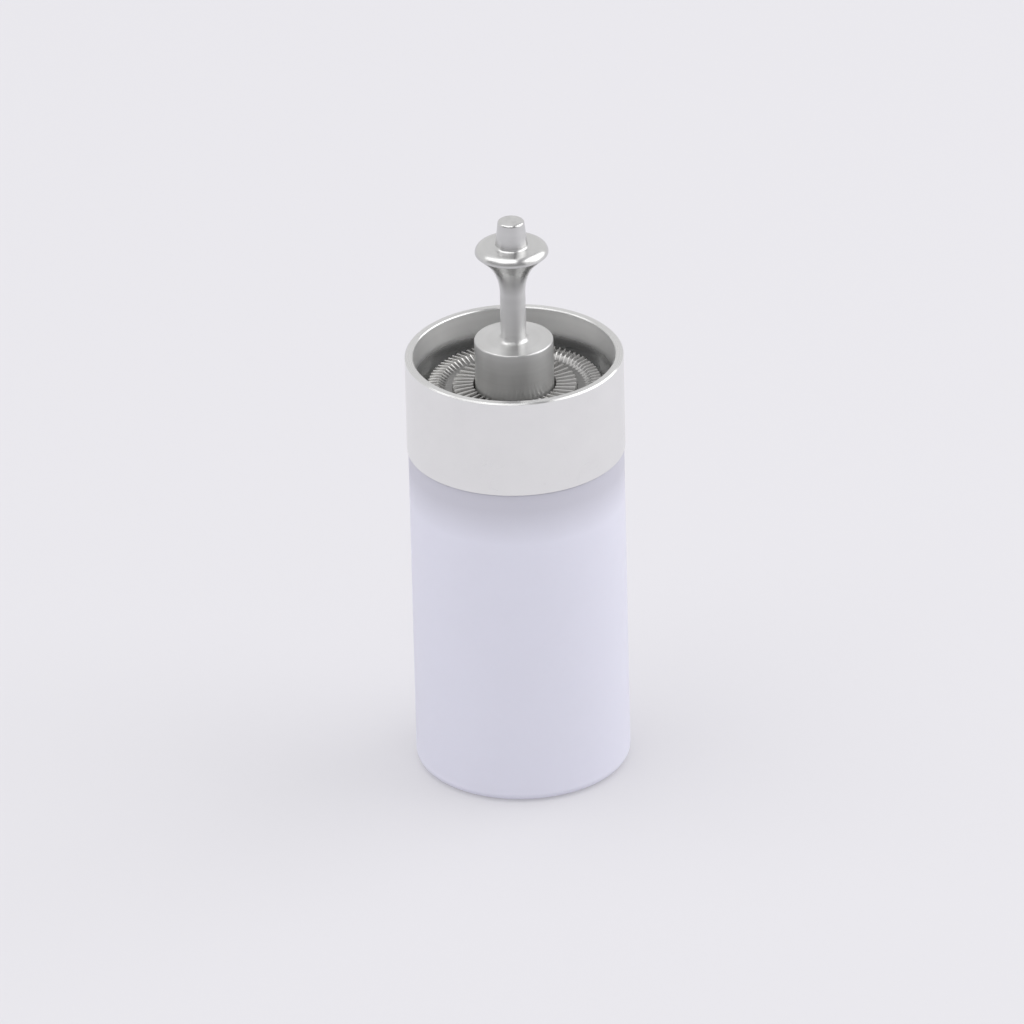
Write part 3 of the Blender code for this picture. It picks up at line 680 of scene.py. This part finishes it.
def make_jar():
    radius, low, high = span("jar")
    inner_r = radius - JAR_WALL
    lip = JAR_LIP
    high += SEAM_CLOSED
    recess_slope = 0.5
    outline = [(0, low + JAR_RECESS), (JAR_RECESS_R - recess_slope, low + JAR_RECESS), (JAR_RECESS_R, low)]
    outline += arc((radius - JAR_FOOT, low + JAR_FOOT), JAR_FOOT, -90, 0, 12)
    outline += arc((radius - lip, high - lip), lip, 0, 90, 5)
    outline += arc((inner_r + lip, high - lip), lip, 90, 180, 5)
    outline += arc((inner_r - JAR_HOLLOW, JAR_FLOOR + JAR_HOLLOW), JAR_HOLLOW, 0, -90, 10)
    outline += [(0, JAR_FLOOR)]
    mesh = turned("jar_look", outline, edge=0.15)
    # The jar's ridge runs midway between two turns of the collar's.
    start = span("collar")[1] + THREAD_START - THREAD_LEAD / 6
    ridge = thread_ridge("jar_ridge", inner_r, inner_r - THREAD_DEPTH, start, TAU / 3)
    show("jar", combined(mesh, "UNION", [ridge]), "frosted_plastic")


def make_seal_ring():
    """A gasket with a raised bead along the middle of its upper face."""
    radius, low, high = span("seal_ring")
    width = 1.0
    bead = 0.25
    shoulder = 0.3
    inner = radius - width
    outline = [
        (inner, low),
        (radius, low),
        (radius, high - bead),
        (radius - shoulder, high - bead),
        (radius - width / 2, high),
        (inner + shoulder, high - bead),
        (inner, high - bead),
    ]
    show("seal_ring", turned("seal_ring_look", outline, edge=0.1), "silicone")


# ---------------------------------------------------------------- head


def make_collar():
    """A blasted outer face, and a bright rim, bore and spigot where a lathe has cut through the blasting."""
    radius, low, high = span("collar")
    seam = span("seal_ring")[1]
    chamber_r = radius - COLLAR_WALL
    foot = 0.2
    groove_top = seam + GASKET_GROOVE_DEPTH
    outline = [
        (LEDGE_R, low),
        (SPIGOT_R - foot, low),
        (SPIGOT_R, low + foot),
        (SPIGOT_R, seam),
        (GASKET_GROOVE_INNER_R, seam),
        (GASKET_GROOVE_INNER_R, groove_top),
        (GASKET_GROOVE_OUTER_R, groove_top),
        (GASKET_GROOVE_OUTER_R, seam),
        (radius - foot, seam),
        (radius, seam + foot),
        (radius, high - RIM_CHAMFER),
        (radius - RIM_CHAMFER, high),
        (chamber_r + RIM_BEVEL, high),
        (chamber_r, high - RIM_BEVEL),
        (chamber_r, FUNNEL_TOP_Z),
        (BORE_R, FUNNEL_BOTTOM_Z),
        (BORE_R, LEDGE_Z),
        (LEDGE_R, LEDGE_Z),
    ]
    ridge = thread_ridge("collar_ridge", SPIGOT_R, SPIGOT_R + THREAD_DEPTH, low + THREAD_START, 0)
    mesh = combined(turned("collar_look", outline, edge=0.09), "UNION", [ridge])
    show("collar", mesh, "satin_aluminium")
    # The outside keeps material 0. Material 1 is the bore and the spigot, and material 2 the rim.
    for cut in ("bored_aluminium", "faced_aluminium"):
        mesh.materials.append(FINISHES[cut])
    blasted_skin = 0.06
    for face in mesh.polygons:
        if math.hypot(face.center.x, face.center.y) < (radius - blasted_skin) * MM:
            face.material_index = 2 if face.center.z > (high - RIM_BEVEL) * MM else 1


def make_bearing_carrier():
    """A hub with two bearing seats and an internal lip, and three arms out to a ring."""
    ring_r, hub_z, hub_top = span("bearing_carrier")
    bearing_r, _, lower_top = span("lower_outer_race")
    upper_z = span("upper_outer_race")[1]
    seat_r = bearing_r + FIT_GAP
    clip_low, clip_high = CIRCLIP_GROOVE_Z
    hub = [
        (seat_r, hub_z),
        (HUB_R, hub_z),
        (HUB_R, hub_top),
        (seat_r, hub_top),
        (seat_r, upper_z - FIT_GAP),
        (HUB_LIP_R, upper_z - FIT_GAP),
        (HUB_LIP_R, lower_top + FIT_GAP),
        (seat_r, lower_top + FIT_GAP),
        (seat_r, clip_high),
        (CIRCLIP_GROOVE_R, clip_high),
        (CIRCLIP_GROOVE_R, clip_low),
        (seat_r, clip_low),
    ]
    ring = rectangle(HUB_RING_INNER_R, ring_r, HUB_RING_Z, HUB_RING_Z + HUB_RING_HEIGHT)
    parts = [turned("carrier_ring", ring, edge=0.3)]
    # The arms run into the hub and into the ring, and are a little lower than the ring.
    inner, outer = HUB_R - 1.0, HUB_RING_INNER_R + 0.6
    size = (outer - inner, ARM_WIDTH, HUB_RING_HEIGHT - 0.8)
    for index in range(ARM_COUNT):
        arm = box_mesh(f"carrier_arm_{index + 1}", size, ((inner + outer) / 2, 0, 0), edge=0.6)
        parts.append(moved(arm, (0, 0, HUB_RING_Z + HUB_RING_HEIGHT / 2), TAU * index / ARM_COUNT))
    mesh = combined(turned("bearing_carrier_look", hub, NARROW, edge=0.25), "UNION", parts)
    show("bearing_carrier", mesh, "machined_aluminium")


def make_carrier_lock_ring():
    """A thin ring with a thread round it and four spanner slots in its top."""
    radius, low, high = span("carrier_lock_ring")
    inner = HUB_RING_INNER_R
    columns = 240
    lead_in, bevel = 0.25, 0.15
    depth, pitch = 0.3, 0.8
    slot_count, slot_size = 4, (4.0, 2.0, 2.0)

    def section(column):
        wall = screw_thread(low + 0.2, high - 0.2, radius, depth, pitch, TAU * column / columns)
        return [
            (inner + bevel, low), (radius - lead_in, low), *wall, (radius - lead_in, high),
            (inner + bevel, high), (inner, high - bevel), (inner, low + bevel),
        ]

    mesh = polar("carrier_lock_ring_look", section, columns)
    slots = []
    for index, (x, y) in enumerate(around((inner + radius) / 2, slot_count)):
        slot = box_mesh(f"lock_ring_slot_{index + 1}", slot_size, (0, 0, 0), edge=0.2)
        slots.append(moved(slot, (x, y, high), TAU * index / slot_count))
    show("carrier_lock_ring", combined(mesh, "DIFFERENCE", slots), "machined_aluminium")


def make_races():
    """Outer rings with a pressed shield at each face, and inner rings with a ball track."""
    for side in ("upper", "lower"):
        radius, low, high = span(f"{side}_outer_race")
        track_r, shield_r, lip = 5.75, 4.35, 0.35
        step_r, step_slope, recess = track_r + 0.1, 0.15, 0.12
        outer = [(radius, low), (radius, high)]
        outer += [(step_r, high), (step_r - step_slope, high - recess), (shield_r, high - recess)]
        outer += [(shield_r, high - lip), (track_r, high - lip)]
        outer += [(track_r, low + lip), (shield_r, low + lip)]
        outer += [(shield_r, low + recess), (step_r - step_slope, low + recess), (step_r, low)]
        mesh = turned(f"{side}_outer_race_look", outer, NARROW, edge=0.05)
        show(f"{side}_outer_race", mesh, "bearing_steel")

        radius, low, high = span(f"{side}_inner_race")
        centre = (low + high) / 2
        ball_play = 0.24
        inner = [(BEARING_BORE_R, low), (radius, low)]
        inner += arc((BALL_PITCH_R, centre), BALL_R + ball_play, 210, 150, 8)
        inner += [(radius, high), (BEARING_BORE_R, high)]
        mesh = turned(f"{side}_inner_race_look", inner, NARROW, edge=0.1)
        show(f"{side}_inner_race", mesh, "bearing_steel")


def make_ball_cages():
    for side in ("upper", "lower"):
        node = f"{side}_ball_cage"
        _, low, high = span(node)
        centre = (low + high) / 2
        half = 0.3
        ring = rectangle(BALL_PITCH_R - half, BALL_PITCH_R + half, centre - half, centre + half)
        balls = []
        for index, (x, y) in enumerate(around(BALL_PITCH_R, BALL_COUNT, math.radians(5))):
            balls.append(ball_mesh(f"{side}_ball_{index + 1}", BALL_R, (x, y, centre), segments=24))
        mesh = combined(turned(f"{node}_look", ring, NARROW, edge=0.08), "UNION", balls)
        show(node, mesh, "bearing_steel")


def make_bearing_circlip():
    """An open spring ring whose ends widen into ears, each with a plier hole."""
    radius, low, high = span("bearing_circlip")
    opening = math.radians(40)
    columns = 90
    sweep = TAU - opening
    inner_r, ear_length, ear_depth, belly = 5.9, 1.5, 0.45, 0.25
    bevel = 0.05
    hole_r, hole_circle_r, hole_turn = 0.35, 6.25, 0.1

    def section(column):
        from_end = min(column, columns - column) * sweep / columns * radius
        ear = max(0.0, 1 - from_end / ear_length) ** 0.5
        inner = inner_r - ear_depth * ear - belly * math.sin(math.pi * column / columns)
        return [
            (inner, low + bevel), (inner + bevel, low), (radius - bevel, low), (radius, low + bevel),
            (radius, high - bevel), (radius - bevel, high), (inner + bevel, high), (inner, high - bevel),
        ]

    mesh = moved(polar("bearing_circlip_look", section, columns, sweep=sweep), (0, 0, 0), opening / 2)
    plier_hole = rectangle(0, hole_r, low - 1, high + 1)
    holes = []
    for side in (-1, 1):
        angle = side * (opening / 2 + hole_turn)
        hole = turned("plier_hole", plier_hole, segments=24, edge=0)
        holes.append(moved(hole, (hole_circle_r * math.cos(angle), hole_circle_r * math.sin(angle), 0)))
    show("bearing_circlip", combined(mesh, "DIFFERENCE", holes), "spring_steel")


# ---------------------------------------------------------------- core


def make_core_rings():
    """The sleeve and the washers that are stacked on the shaft with the inner races."""
    for node in ("race_spacer", "spring_washer", "thrust_washer"):
        radius, low, high = span(node)
        mesh = turned(f"{node}_look", rectangle(BEARING_BORE_R, radius, low, high), NARROW, edge=0.12)
        show(node, mesh, "bearing_steel")


def make_detent_plate():
    """A flanged disc keyed to the shaft's flats, with round-bottomed click grooves in its underside."""
    radius, low, high = span("detent_plate")
    per_groove = 12
    columns = per_groove * PLATE_GROOVES
    hub_r, flange_top = 4.8, 75.6
    depth, groove_inner_r = 0.3, 5.8
    half = FLAT_HALF + FIT_GAP
    bevel, hub_bevel = 0.15, 0.2

    def section(column):
        angle = TAU * column / columns
        across = abs(math.sin(angle)) * BEARING_BORE_R
        bore = BEARING_BORE_R if across <= half else half / abs(math.sin(angle))
        phase = (column % per_groove) / per_groove
        cut = low + depth * max(0.0, math.cos(TAU * (phase - 0.5))) ** 0.7
        return [
            (bore, low), (groove_inner_r, low), (radius - bevel, cut), (radius, cut + bevel),
            (radius, flange_top - bevel), (radius - bevel, flange_top), (hub_r, flange_top),
            (hub_r, high - hub_bevel), (hub_r - hub_bevel, high), (bore, high),
        ]

    show("detent_plate", polar("detent_plate_look", section, columns), "spring_steel")


def make_lift_spring():
    """The spring under the burr carrier, between the bodies that its two ends rest on. It rides on no body.
    """
    _, low, high = span("lift_spring")
    coil_r, wire_r = 5.6, 0.45
    mesh = coil("lift_spring_look", coil_r, wire_r, high - low - 2 * wire_r, turns=3.0)
    moved(mesh, (0, 0, low + wire_r))
    piece = show("lift_spring", mesh, "spring_steel", rides=False)
    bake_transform(piece)


# ---------------------------------------------------------------- rotor


def make_drive_shaft():
    """A ground shaft with a flange, a threaded stud, two flats and a threaded, bored end."""
    radius, low, high = span("drive_shaft")
    columns = 72
    hole_r, hole_top = STOP_SCREW_HOLE_R, 73.0
    depth = 0.3
    bevel, flange_bevel = 0.1, 0.12
    seat_start = SEAT_END_Z + flange_bevel

    def section(column):
        turn = TAU * column / columns
        flat_r = FLAT_HALF / max(abs(math.sin(turn)), 1e-6)
        end = screw_thread(low + 0.3, SEAT_END_Z, SHAFT_THREAD_R, depth, SHAFT_PITCH, turn)
        stud = screw_thread(FLANGE_TOP_Z + 0.6, high - 0.4, SHAFT_THREAD_R, depth, SHAFT_PITCH, turn)
        points = [(0, hole_top), (hole_r, hole_top), (hole_r, low + 0.2), (hole_r + 0.15, low)]
        points += [(SHAFT_THREAD_R - 0.3, low)]
        points += [(r, z) if z < FLATS_Z else (min(r, flat_r), z) for r, z in end]
        points += [(min(SHAFT_R - bevel, flat_r), SEAT_END_Z + 0.01), (min(SHAFT_R, flat_r), seat_start)]
        points += [(min(SHAFT_R, flat_r), FLATS_TOP_Z), (SHAFT_R, FLATS_TOP_Z + 0.01), (SHAFT_R, FLANGE_Z)]
        points += [(radius - flange_bevel, FLANGE_Z), (radius, FLANGE_Z + flange_bevel)]
        points += [(radius, FLANGE_TOP_Z - flange_bevel), (radius - flange_bevel, FLANGE_TOP_Z)]
        points += [(SHAFT_THREAD_R, FLANGE_TOP_Z), *stud, (SHAFT_THREAD_R - 0.4, high), (0, high)]
        return points

    show("drive_shaft", polar("drive_shaft_look", section, columns), "bearing_steel")


def make_stop_washer():
    radius, low, high = span("stop_washer")
    outline = rectangle(STOP_SCREW_HOLE_R, radius, low, high)
    show("stop_washer", turned("stop_washer_look", outline, NARROW, edge=0.15), "bearing_steel")


def make_screw(node, head_r, head_height, shank_r, pitch, countersunk):
    """A hex socket screw that points up, with its head's face down."""
    _, low, high = span(node)
    columns = 72
    under_r = shank_r if countersunk else head_r
    socket = 1.1 * shank_r
    socket_top = low + 0.6 * head_height
    head_top = low + head_height
    depth, bevel, tip = 0.17, 0.15, 0.3

    def section(column):
        socket_r = hex_radius(socket, column, columns)
        turn = TAU * column / columns
        shank = screw_thread(head_top + bevel, high - tip, shank_r, depth, pitch, turn, samples=5)
        return [
            (0, socket_top + 0.2), (0.8 * socket_r, socket_top), (socket_r, socket_top),
            (socket_r, low + 0.1), (socket_r + 0.1, low), (head_r - bevel, low), (head_r, low + bevel),
            (head_r, low + 0.25 * head_height), (under_r, head_top - (0 if countersunk else 0.1)),
            (shank_r, head_top + 0.05), *shank, (shank_r - tip, high), (0, high),
        ]

    mesh = moved(polar(f"{node}_look", section, columns), (*middle(node), 0))
    show(node, mesh, "black_oxide")


def make_burr_carrier():
    """The disc under the burr: spring pocket below, holes for the burr's screws and the drive pins."""
    radius, low, high = span("burr_carrier")
    bore_r = SHAFT_THREAD_R + FIT_GAP
    outline = [
        (bore_r, SPRING_POCKET_Z),
        (SPRING_POCKET_R, SPRING_POCKET_Z),
        (SPRING_POCKET_R, low),
        (radius - 0.4, low),
        (radius, low + 0.4),
        (radius, high),
        (bore_r, high),
    ]
    below, above = low - 0.2, high + 1
    sink_r, shank_r = 2.5, 1.4
    screw_hole = [
        (0, below),
        (sink_r, below),
        (sink_r, low + 0.75),
        (shank_r, low + 1.75),
        (shank_r, above),
        (0, above),
    ]
    pin_hole = rectangle(0, DRIVE_PIN_HOLE_R, DRIVE_PIN_Z - FIT_GAP, above)
    holes = numbered_holes("burr_screw", 3, screw_hole, segments=48)
    holes += numbered_holes("drive_pin", 2, pin_hole, segments=48)
    mesh = turned("burr_carrier_look", outline, edge=0.15)
    show("burr_carrier", combined(mesh, "DIFFERENCE", holes), "machined_aluminium")


def make_drive_pins():
    for index in (1, 2):
        node = f"drive_pin_{index}"
        radius, low, high = span(node)
        mesh = turned(f"{node}_look", rectangle(0, radius, low, high), segments=48, edge=0.3)
        show(node, moved(mesh, (*middle(node), 0)), "bearing_steel")


def saw(phase):
    """A tooth's height over one pitch: 1 on its land, a steep fall, a floor, and a ramp up to the next."""
    land, fall, floor = 0.3, 0.08, 0.2
    if phase <= land:
        return 1.0
    if phase <= land + fall:
        return 1 - (phase - land) / fall
    if phase <= land + fall + floor:
        return 0.0
    return ((phase - land - fall - floor) / (1 - land - fall - floor)) ** 1.3


def make_lower_burr():
    """Coarse breaker teeth that deepen to the bore, a plain groove, a ribbed slope, and fine teeth."""
    radius, low, high = span("lower_burr")
    bore_r = BURR_BORE_R
    per_tooth = 8
    columns = 2 * per_tooth * BREAKER_TEETH
    groove_floor = low + 2.7
    bend_r = 19.5  # where the leaning fine teeth bend a little
    fine_depth, slope_depth, foot_rise = 0.7, 0.75, 0.25
    breaker_depth, bore_depth = 1.0, 1.9

    def tooth_lean(r):
        return TOOTH_LEAN * (r - bore_r) / (radius - bore_r)

    def section(column):
        coarse = saw((column % (2 * per_tooth)) / (2 * per_tooth))
        fine = saw((column % per_tooth) / per_tooth)
        finishing = high - fine_depth * (1 - fine)
        slope_top = high - slope_depth * (1 - fine)
        foot = groove_floor + foot_rise * fine
        breaker = high - breaker_depth * (1 - coarse)
        at_bore = high - bore_depth * (1 - coarse)
        between = (breaker + at_bore) / 2
        return [
            (bore_r, low), (radius - 0.3, low), (radius, low + 0.3), (radius, finishing - 0.12),
            (radius - 0.1, finishing), (bend_r, finishing), (FINISHING_R + 0.1, finishing),
            (FINISHING_R - 0.1, slope_top - 0.07), ((GROOVE_R + FINISHING_R) / 2, (foot + slope_top) / 2),
            (GROOVE_R, foot), (GROOVE_R - 0.5, groove_floor), (BREAKER_R + 0.25, groove_floor),
            (BREAKER_R + 0.05, breaker - 0.12), (BREAKER_R - 0.07, breaker),
            ((bore_r + BREAKER_R) / 2, between), (bore_r, at_bore),
        ]

    mesh = polar("lower_burr_look", section, columns, lean=tooth_lean)
    hole_r = 1.3
    screw_hole = [(0, low - 0.5), (hole_r, low - 0.5), (hole_r, low + 1.8), (0, low + 2.2)]
    holes = numbered_holes("burr_screw", 3, screw_hole, segments=32)
    show("lower_burr", combined(mesh, "DIFFERENCE", holes), "burr_steel")


def disc_rounding(steps):
    """The broad elliptical upper edge of the spindle's disc."""
    points = []
    for step in range(1, steps + 1):
        angle = math.pi / 2 * step / steps
        reach = DISC_R - DISC_ROUND_R + DISC_ROUND_R * math.cos(angle)
        points.append((reach, DISC_Z + (DISC_TOP_Z - DISC_Z) * math.sin(angle)))
    return points


def make_spindle():
    """One turned piece: boss, thin neck that flares into a round-edged disc, and the crank's stub."""
    radius, low, high = span("spindle")
    hole_r = SHAFT_THREAD_R + FIT_GAP
    hole_top = span("drive_shaft")[2] + 0.5
    foot = 0.4
    outline = [(0, hole_top), (hole_r, hole_top), (hole_r, low), (radius - foot, low), (radius, low + foot)]
    outline += arc((radius - BOSS_BEVEL, BOSS_TOP_Z - BOSS_BEVEL), BOSS_BEVEL, 0, 90, 5)
    outline += arc((NECK_R + NECK_FILLET, BOSS_TOP_Z + NECK_FILLET), NECK_FILLET, 270, 180, 10)
    outline += arc((NECK_R + FLARE_R, FLARE_Z), FLARE_R, 180, 180 - FLARE_END, 20)
    outline += arc((DISC_R - DISC_EDGE_R, DISC_Z), DISC_EDGE_R, -50, 0, 5)
    outline += disc_rounding(20)
    outline += arc((STUB_FOOT_R + STUB_FILLET, DISC_TOP_Z + STUB_FILLET), STUB_FILLET, 270, 180, 8)
    outline += arc((STUB_R - STUB_EDGE_R, high - STUB_EDGE_R), STUB_EDGE_R, 0, 90, 8)
    outline += [(0, high)]
    pin_hole = rectangle(0, DRIVE_PIN_HOLE_R, low - 0.5, DRIVE_PIN_HOLE_TOP_Z)
    holes = numbered_holes("drive_pin", 2, pin_hole, segments=48)
    mesh = combined(turned("spindle_look", outline, NARROW, edge=0.12), "DIFFERENCE", holes)
    show("spindle", mesh, "polished_steel")


# ---------------------------------------------------------------- dial


def make_adjusting_dial():
    """A nut with scalloped grips, a threaded bore, and two pockets in its top for the click balls."""
    radius, low, high = span("adjusting_dial")
    per_grip = 12
    columns = per_grip * DIAL_KNURLS
    bore_r = SHAFT_THREAD_R + FIT_GAP
    edge, depth, lead_in = 0.6, 0.3, 0.3

    def section(column):
        turn = TAU * column / columns
        scallop = max(0.0, math.cos(TAU * (column % per_grip) / per_grip + math.pi)) ** 0.8
        outer = radius - KNURL_DEPTH * scallop
        bore = screw_thread(low + 0.4, high - 0.4, bore_r, -depth, SHAFT_PITCH, turn)
        return [
            (bore_r + lead_in, low), (radius - KNURL_DEPTH - edge, low), (outer - 0.5 * edge, low + 0.1),
            (outer - 0.1, low + 0.5 * edge), (outer, low + edge), (outer, high - edge),
            (outer - 0.1, high - 0.5 * edge), (outer - 0.5 * edge, high - 0.1),
            (radius - KNURL_DEPTH - edge, high), (bore_r + lead_in, high), *reversed(bore),
        ]

    mesh = polar("adjusting_dial_look", section, columns)
    pocket_r = span("click_ball_1")[0] + FIT_GAP
    pocket = rectangle(0, pocket_r, CLICK_POCKET_Z, high + 0.5)
    pockets = numbered_holes("click_ball", 2, pocket, segments=40)
    show("adjusting_dial", combined(mesh, "DIFFERENCE", pockets), "machined_aluminium")


def make_clicks():
    """A ball on a small spring in each pocket of the dial, under the detent plate."""
    coil_r, wire_r = 0.55, 0.13
    for index in (1, 2):
        node = f"click_ball_{index}"
        radius, low, high = span(node)
        show(node, ball_mesh(f"{node}_look", radius, (*middle(node), (low + high) / 2)), "bearing_steel")
        node = f"click_spring_{index}"
        _, low, high = span(node)
        height = high - low - 2 * wire_r
        mesh = coil(f"{node}_look", coil_r, wire_r, height, turns=3.0, steps_per_turn=24, sides=8)
        show(node, moved(mesh, (*middle(f"click_ball_{index}"), low + wire_r)), "spring_steel")


# ---------------------------------------------------------------- studio


# Metres and degrees, and millimetres for the lens
CAMERA_DISTANCE = 4.135
CAMERA_ELEVATION = 27.96
CAMERA_ROLL = -1.4
CAMERA_LENS = 609.7
AIM = Vector((-0.0014, 0.0, 0.06507))
FLOOR_SIZE = 14.0
LIGHT_DISTANCE = 2.5
FRONT_CARD_DISTANCE = 1.7
FRONT_CARD_FOOT, FRONT_CARD_HEAD = 0.35, 3.2
GAP_CARD_DISTANCE = 2.3
GAP_CARD_TILT = 14
GAP_CARD_HALF = 0.09  # half its width, as a share of its distance


def toward(azimuth, elevation):
    """A unit direction, in degrees. Azimuth 0 is at the camera's side, and positive is to its right."""
    turn, rise = math.radians(azimuth), math.radians(elevation)
    return Vector((math.sin(turn) * math.cos(rise), -math.cos(turn) * math.cos(rise), math.sin(rise)))


def aimed(name, data, away, distance, target=Vector((0, 0, 0))):
    """Places a camera or a light at a distance from its target, looking at it."""
    thing = bpy.data.objects.new(name, data)
    bpy.context.scene.collection.objects.link(thing)
    facing = (-away).to_track_quat("-Z", "Y").to_matrix().to_4x4()
    thing.matrix_world = Matrix.Translation(target + away * distance) @ facing
    return thing


def make_camera():
    data = bpy.data.cameras.new("camera")
    data.lens = CAMERA_LENS
    data.clip_end = 50
    camera = aimed("camera", data, toward(0, CAMERA_ELEVATION), CAMERA_DISTANCE, AIM)
    camera.matrix_world = camera.matrix_world @ Matrix.Rotation(math.radians(CAMERA_ROLL), 4, "Z")
    bpy.context.scene.camera = camera


def staged_mesh(name, bm, colour, glow=0.0):
    """A matt thing of the studio, and not of the object."""
    thing = bpy.data.objects.new(name, finished_mesh(name, bm))
    bpy.context.scene.collection.objects.link(thing)
    finish = Finish(name, colour, 0.9)
    finish.set("Emission Color", (*colour, 1.0))
    finish.set("Emission Strength", glow)
    thing.data.materials.append(finish.material)
    return thing


def make_floor():
    """A pale table, lit a little from below so that the object's shadow on it stays faint."""
    bm = bmesh.new()
    bmesh.ops.create_grid(bm, x_segments=1, y_segments=1, size=FLOOR_SIZE / 2)
    staged_mesh("floor", bm, (0.38, 0.376, 0.394), glow=0.7)


def reflected_card(name, pairs, grey):
    """A card that only reflections show. Each pair of points is its two edges at one place along it."""
    bm = bmesh.new()
    rows = [[bm.verts.new(point) for point in pair] for pair in pairs]
    for (left, right), (next_left, next_right) in zip(rows, rows[1:]):
        bm.faces.new((left, next_left, next_right, right))
    card = staged_mesh(name, bm, (grey, grey, grey))
    card.visible_camera = False
    card.visible_diffuse = False
    card.visible_transmission = False
    card.visible_shadow = False


def make_cards():
    """A grey card round the camera's side of the tent, and a strip over the gap between the two boxes."""
    foot, head = Vector((0, 0, FRONT_CARD_FOOT)), Vector((0, 0, FRONT_CARD_HEAD))
    front = [toward(azimuth, 0) * FRONT_CARD_DISTANCE for azimuth in range(-84, 52, 8)]
    reflected_card("front_card", [(point + foot, point + head) for point in front], 0.26)
    over = toward(90, 90 - GAP_CARD_TILT)
    side = toward(90, -GAP_CARD_TILT) * GAP_CARD_HALF
    strip = []
    for step in range(9):
        rise = math.radians(40 + 12.5 * step)
        spine = toward(0, 0) * math.cos(rise) + over * math.sin(rise)
        strip.append(((spine - side) * GAP_CARD_DISTANCE, (spine + side) * GAP_CARD_DISTANCE))
    reflected_card("gap_card", strip, 0.5)


def soft_box(name, azimuth, elevation, size, brightness):
    """A square lamp of an even brightness. Its size is for a distance of one metre."""
    data = bpy.data.lights.new(name, "AREA")
    data.shape = "SQUARE"
    data.size = size * LIGHT_DISTANCE
    data.energy = brightness * math.pi * data.size**2
    lamp = aimed(name, data, toward(azimuth, elevation), LIGHT_DISTANCE)
    lamp.visible_camera = False


def make_world(colour, strength):
    world = bpy.data.worlds.new("studio")
    world.use_nodes = True
    background = world.node_tree.nodes["Background"]
    background.inputs["Color"].default_value = (*colour, 1.0)
    background.inputs["Strength"].default_value = strength
    bpy.context.scene.world = world


def make_studio():
    make_camera()
    make_floor()
    make_cards()
    make_world((1.0, 0.995, 1.0), strength=0.87)
    soft_box("box_above", azimuth=-80, elevation=70, size=1.02, brightness=1.35)
    soft_box("box_right", azimuth=102, elevation=42, size=1.0, brightness=1.5)
    bpy.context.scene.view_settings.view_transform = "Standard"


def main():
    make_jar()
    make_seal_ring()
    make_collar()
    make_bearing_carrier()
    make_carrier_lock_ring()
    make_races()
    make_ball_cages()
    make_bearing_circlip()
    make_core_rings()
    make_detent_plate()
    make_lift_spring()
    make_drive_shaft()
    make_stop_washer()
    make_screw("stop_screw", head_r=2.4, head_height=1.5, shank_r=1.2, pitch=0.5, countersunk=False)
    make_burr_carrier()
    make_drive_pins()
    for index in (1, 2, 3):
        node = f"burr_screw_{index}"
        make_screw(node, head_r=2.2, head_height=1.5, shank_r=1.15, pitch=0.45, countersunk=True)
    make_lower_burr()
    make_spindle()
    make_adjusting_dial()
    make_clicks()
    make_studio()


main()
